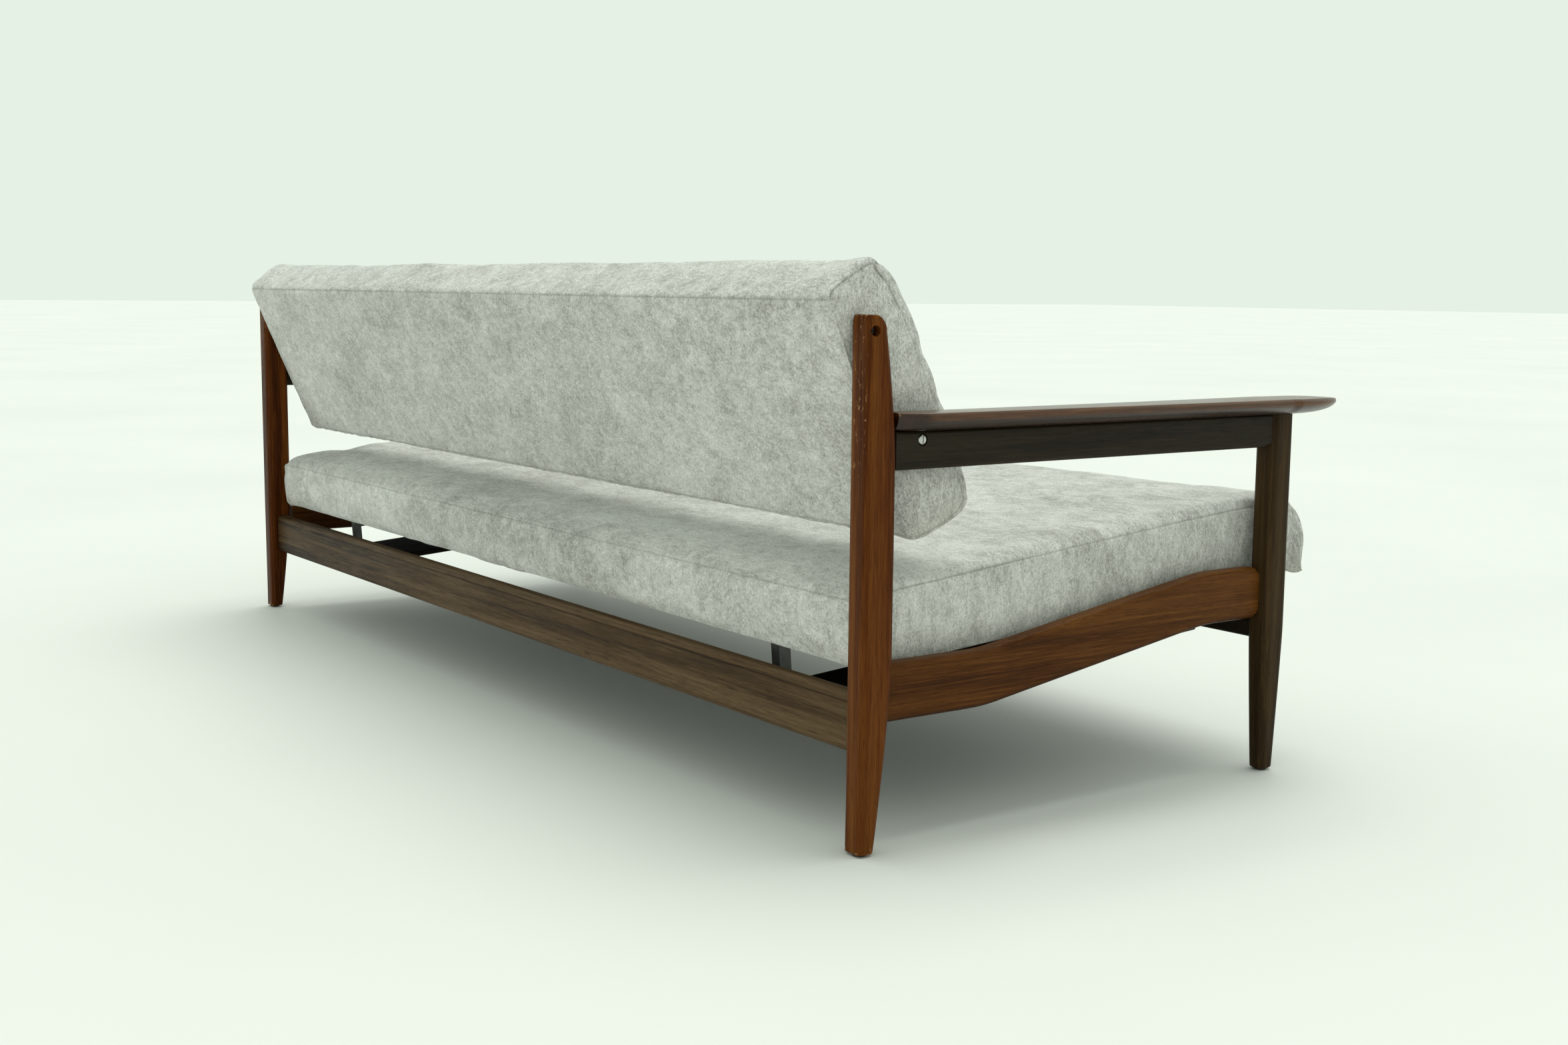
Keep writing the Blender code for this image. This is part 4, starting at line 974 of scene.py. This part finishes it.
def finish_cushion(
    cushion, name, place, body, material, replaced, seams, ridges, give, seed, shape=None,
):
    """Simulates, subdivides, sinks the seams, adds puckers and sets the cushion on its body."""
    mesh = as_mesh(name, cushion.verts, cushion.faces)
    seam = cushion.seam_marks(*seams)
    ridge = cushion.seam_marks(*ridges)
    free = cushion.give(*give)
    base = coords(mesh)
    near = distance_to(base, (seam + ridge) > 0)
    held = np.round(np.clip(1.0 - (near - 0.001) / 0.006, 0, 1), 1)
    held = np.maximum(held, np.where(free < 0.1, 1.0, 0.0))
    moved = puff(mesh, held) - base
    length = np.linalg.norm(moved, axis=1)
    reach = PUFF_LIMIT * free
    moved *= (reach * np.tanh(length / np.maximum(reach, 1e-9)) / np.maximum(length, 1e-9))[:, None]
    base = base + moved - normals(mesh) * (SETTLE * free)[:, None]
    mesh.vertices.foreach_set("co", base.astype(np.float32).ravel())
    mesh.update()
    set_point_values(mesh, "seamline", seam)
    set_point_values(mesh, "ridgeline", ridge)
    set_point_values(mesh, "free", free)

    holder = bpy.data.objects.new(name, mesh)
    bpy.context.scene.collection.objects.link(holder)
    finer = holder.modifiers.new("finer", "SUBSURF")
    finer.levels = finer.render_levels = 1
    graph = bpy.context.evaluated_depsgraph_get()
    fine = bpy.data.meshes.new_from_object(holder.evaluated_get(graph))
    bpy.data.objects.remove(holder)

    points, out = coords(fine), normals(fine)
    values = {}
    for key in ("seamline", "ridgeline", "free"):
        flat = np.empty(len(points), np.float32)
        fine.attributes[key].data.foreach_get("value", flat)
        values[key] = flat.astype(float)
    on_seam = values["seamline"] > 0.98
    on_ridge = values["ridgeline"] > 0.98
    far = distance_to(points, on_seam)
    far_ridge = distance_to(points, on_ridge) if on_ridge.any() else np.full(len(points), 1.0)
    near_any = np.minimum(far, far_ridge)
    push = -SEAM_DEPTH * np.exp(-(far / SEAM_WIDTH) ** 2)
    push += RIDGE_HEIGHT * np.exp(-(far_ridge / RIDGE_WIDTH) ** 2)
    push -= 0.0005 * np.exp(-((far_ridge - 0.0042) / 0.0014) ** 2)
    push += 0.0007 * field(points * (1, 0.5, 0.5), seed, 0.028) * np.exp(-near_any / 0.011)
    push += 0.0006 * field(points, seed + 1, 0.075) * values["free"] * (1 - np.exp(-near_any / 0.012))
    push += 0.0013 * field(points, seed + 2, 0.31) * values["free"] * (1 - np.exp(-near_any / 0.03))
    points = points + out * push[:, None]
    if shape:
        points = shape(points)
    # Painted shade along the seam grooves, stored in the seam attribute.
    seam_shade = np.exp(-(far / 0.0013) ** 2)
    ends = np.clip((np.abs(points[:, 0]) - (cushion.half - 0.10)) / 0.10, 0, 1)
    low = np.clip((points[:, 2].min() + 0.045 - points[:, 2]) / 0.045, 0, 1)
    settled = np.array([place @ Vector((x, -depth, height)) for x, depth, height in points])
    fine.vertices.foreach_set("co", settled.astype(np.float32).ravel())
    fine.update()
    set_point_values(fine, "seam", seam_shade)
    set_point_values(fine, "stain", 0.42 * ends * low)
    bm = bmesh.new()
    bm.from_mesh(fine)
    bmesh.ops.recalc_face_normals(bm, faces=bm.faces)
    bm.to_mesh(fine)
    bm.free()
    fine.update()
    for key in ("seamline", "ridgeline", "free"):
        fine.attributes.remove(fine.attributes[key])
    obj = add_piece(name, fine, material, body, replaced, sharp=180)


back_shape = Cushion(
    BACK_HALF,
    (
        ((-0.0220, -0.2560), (-0.0222, -0.1800), (-0.0224, -0.0900), (-0.0222, 0.0000), (-0.0220, 0.0460)),
        ((-0.0220, 0.0460), (-0.0160, 0.0545), (0.0040, 0.0615), (0.0300, 0.0675), (0.0500, 0.0698),
         (0.0600, 0.0670), (0.0650, 0.0605)),
        ((0.0650, 0.0605), (0.0690, 0.0510), (0.0740, 0.0380), (0.0815, 0.0020), (0.0864, -0.0500),
         (0.0890, -0.1300), (0.0885, -0.2000), (0.0876, -0.2400), (0.0845, -0.2550)),
        ((0.0845, -0.2550), (0.0730, -0.2675), (0.0380, -0.2720), (0.0010, -0.2690), (-0.0180, -0.2620),
         (-0.0220, -0.2560)),
    ),
    (30, 9, 176),
    ((0.0010, 0.0010), (0.0020, 0.0110), (0.0130, 0.0110), (0.0090, 0.0030)),
    0.012, 0.0025,
)
finish_cushion(
    back_shape, "back_cushion", BACK_PLACE, "backrest", back_cloth, ["back_pad", "back_panel"],
    seams=((1, 0), (1, 2, 3)), ridges=((), (0,)), give=((0.35, 1.0, 1.0, 0.5), 0.7), seed=11,
)


def droop(points):
    """The seat cover's lower edge hangs a little below its frame towards each end."""
    out = points.copy()
    side = np.clip((np.abs(points[:, 0]) - (SEAT_HALF - 0.014)) / 0.010, 0, 1)
    out[:, 2] -= 0.0050 * side * np.clip(1 - points[:, 2] / 0.035, 0, 1)
    return out


seat_shape = Cushion(
    SEAT_HALF,
    (
        ((0.0060, 0.0000), (0.0008, 0.0100), (0.0000, 0.0450), (0.0002, 0.0700), (0.0030, 0.0835)),
        ((0.0030, 0.0835), (0.0200, 0.0925), (0.0500, 0.0965), (0.1500, 0.0990), (0.4000, 0.1048),
         (0.6000, 0.1080), (0.7000, 0.1075), (0.7500, 0.1045), (0.7740, 0.1000), (0.7880, 0.0920)),
        ((0.7880, 0.0920), (0.8035, 0.0700), (0.8120, 0.0370), (0.8140, 0.0180), (0.8080, -0.0070)),
        ((0.8080, -0.0070), (0.7900, -0.0080), (0.7700, -0.0020), (0.7400, 0.0000), (0.5000, 0.0000),
         (0.2000, 0.0000), (0.0060, 0.0000)),
    ),
    (7, 60, 158),
    ((0.0170, 0.0170), (0.0110, 0.0110), (0.0130, 0.0130), (0.0020, 0.0020)),
    0.016, 0.0020,
)
finish_cushion(
    seat_shape, "seat_cushion", SEAT_PLACE, "seat", seat_cloth, ["seat_pad"],
    seams=((1, 3), (1, 2)), ridges=((), ()), give=((0.5, 1.0, 0.8, 0.0), 0.7), seed=23,
    shape=droop,
)


CLOTH_THICK = 0.0011
SAG = 0.0016


def bottom_panel():
    """The thin dark cloth under the mattress, a little slack between its edges."""
    low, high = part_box("seat_dust_cover")
    flat = SEAT_PLACE.inverted()
    near = flat @ Vector((low.x, low.y, low.z))
    far = flat @ Vector((high.x, high.y, high.z))
    f_low, f_high = -max(near.y, far.y), -min(near.y, far.y)
    nx, nf = 120, 60

    def build(bm):
        layers = []
        for lift in (0.0, CLOTH_THICK):
            rows = []
            for i in range(nx + 1):
                x = low.x + (high.x - low.x) * i / nx
                row = []
                for j in range(nf + 1):
                    f = f_low + (f_high - f_low) * j / nf
                    inner = 0 < i < nx and 0 < j < nf
                    slack = sin(pi * i / nx) ** 0.6 * sin(pi * j / nf) ** 0.6 if inner else 0
                    ripple = 0.25 * sin(x * 37) * sin(f * 29) + 0.2 * sin(x * 90 + f * 60)
                    height = lift - SAG * slack * (1 + ripple)
                    row.append(bm.verts.new(SEAT_PLACE @ Vector((x, -f, height))))
                rows.append(row)
            layers.append(rows)
        for rows in layers:
            for i in range(nx):
                for j in range(nf):
                    bm.faces.new((rows[i][j], rows[i + 1][j], rows[i + 1][j + 1], rows[i][j + 1]))
        down, up = layers
        edge = [(i, 0) for i in range(nx)] + [(nx, j) for j in range(nf)]
        edge += [(i, nf) for i in range(nx, 0, -1)] + [(0, j) for j in range(nf, 0, -1)]
        for (a, b), (c, d) in zip(edge, edge[1:] + edge[:1]):
            bm.faces.new((down[a][b], down[c][d], up[c][d], up[a][b]))

    mesh = mesh_from("seat_bottom_cloth", build)
    add_piece("seat_bottom_cloth", mesh, bottom_cloth, "seat", ["seat_dust_cover"])


bottom_panel()


# ---------------------------------------------------------------- finishes of the CAD pieces that show

board_wood = wood("board_teak", "Y", *BLACK_TEAK, seed=20.0, rough=0.55)
FINISHES = (
    ("track_board", board_wood), ("back_frame_stile", beech["Z"]), ("back_frame_middle", beech["Z"]),
    ("back_frame", beech["X"]), ("seat_frame_side", beech["Y"]), ("seat_frame_middle", beech["Y"]),
    ("seat_frame", beech["X"]), ("strap", webbing), ("pivot_bolt", bolt_steel), ("pivot_bush", brass),
    ("stop_peg", bright_steel), ("stop_stud", bolt_steel), ("screw", bolt_steel), ("glide", rubber),
    ("pad", nylon), ("angle", dark_steel), ("runner", dark_steel),
)
for node_name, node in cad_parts.items():
    if not node.hide_render:
        node.data.materials.clear()
        node.data.materials.append(next(material for key, material in FINISHES if key in node_name))


# ---------------------------------------------------------------- floor, light and camera

def studio():
    scene = bpy.context.scene
    for name in ("Cube", "Light", "Camera"):
        if name in bpy.data.objects:
            bpy.data.objects.remove(bpy.data.objects[name])
    scene.view_settings.view_transform = "Standard"

    mesh = bpy.data.meshes.new("floor")
    reach = 60.0
    mesh.from_pydata([(-reach, -reach, 0), (reach, -reach, 0), (reach, reach, 0), (-reach, reach, 0)], [],
                     [(0, 1, 2, 3)])
    floor = bpy.data.objects.new("floor", mesh)
    scene.collection.objects.link(floor)
    look = Look("floor_finish", 0.62)
    cloud = look.noise(look.place((0.7, 0.7, 0.7)), 1.0, 3.0)
    look.set("Base Color", look.ramp(cloud, (0.3, (0.700, 0.700, 0.682)), (0.7, (0.735, 0.735, 0.715))))
    look.set("Specular IOR Level", 0.3)
    mesh.materials.append(look.material)

    world = bpy.data.worlds.new("studio")
    world.use_nodes = True
    world.node_tree.nodes["Background"].inputs["Color"].default_value = (0.79, 0.88, 0.79, 1)
    scene.world = world

    lamp = bpy.data.lights.new("softbox", "SUN")
    lamp.energy = 1.48
    lamp.angle = radians(44)
    lamp.color = (0.98, 1.0, 0.95)
    light = bpy.data.objects.new("softbox", lamp)
    light.rotation_euler = Vector((0.12, -0.26, 1.0)).to_track_quat("Z", "Y").to_euler()
    scene.collection.objects.link(light)

    yaw, pitch, roll = 0.61641, 0.12964, 0.01037
    ahead = Vector((cos(yaw) * cos(pitch), -sin(yaw) * cos(pitch), -sin(pitch)))
    level = Vector((-sin(yaw), -cos(yaw), 0))
    above = level.cross(ahead)
    right = level * cos(roll) + above * sin(roll)
    above = above * cos(roll) - level * sin(roll)
    place = Matrix((right, above, -ahead)).transposed().to_4x4()
    place.translation = Vector((-2.5993, 1.6456, 0.6593))
    lens = bpy.data.cameras.new("camera")
    lens.sensor_width = 36
    lens.lens = 41.40
    lens.clip_start = 0.05
    lens.clip_end = 200
    camera = bpy.data.objects.new("camera", lens)
    camera.matrix_world = place
    scene.collection.objects.link(camera)
    scene.camera = camera


studio()

bpy.context.view_layer.update()
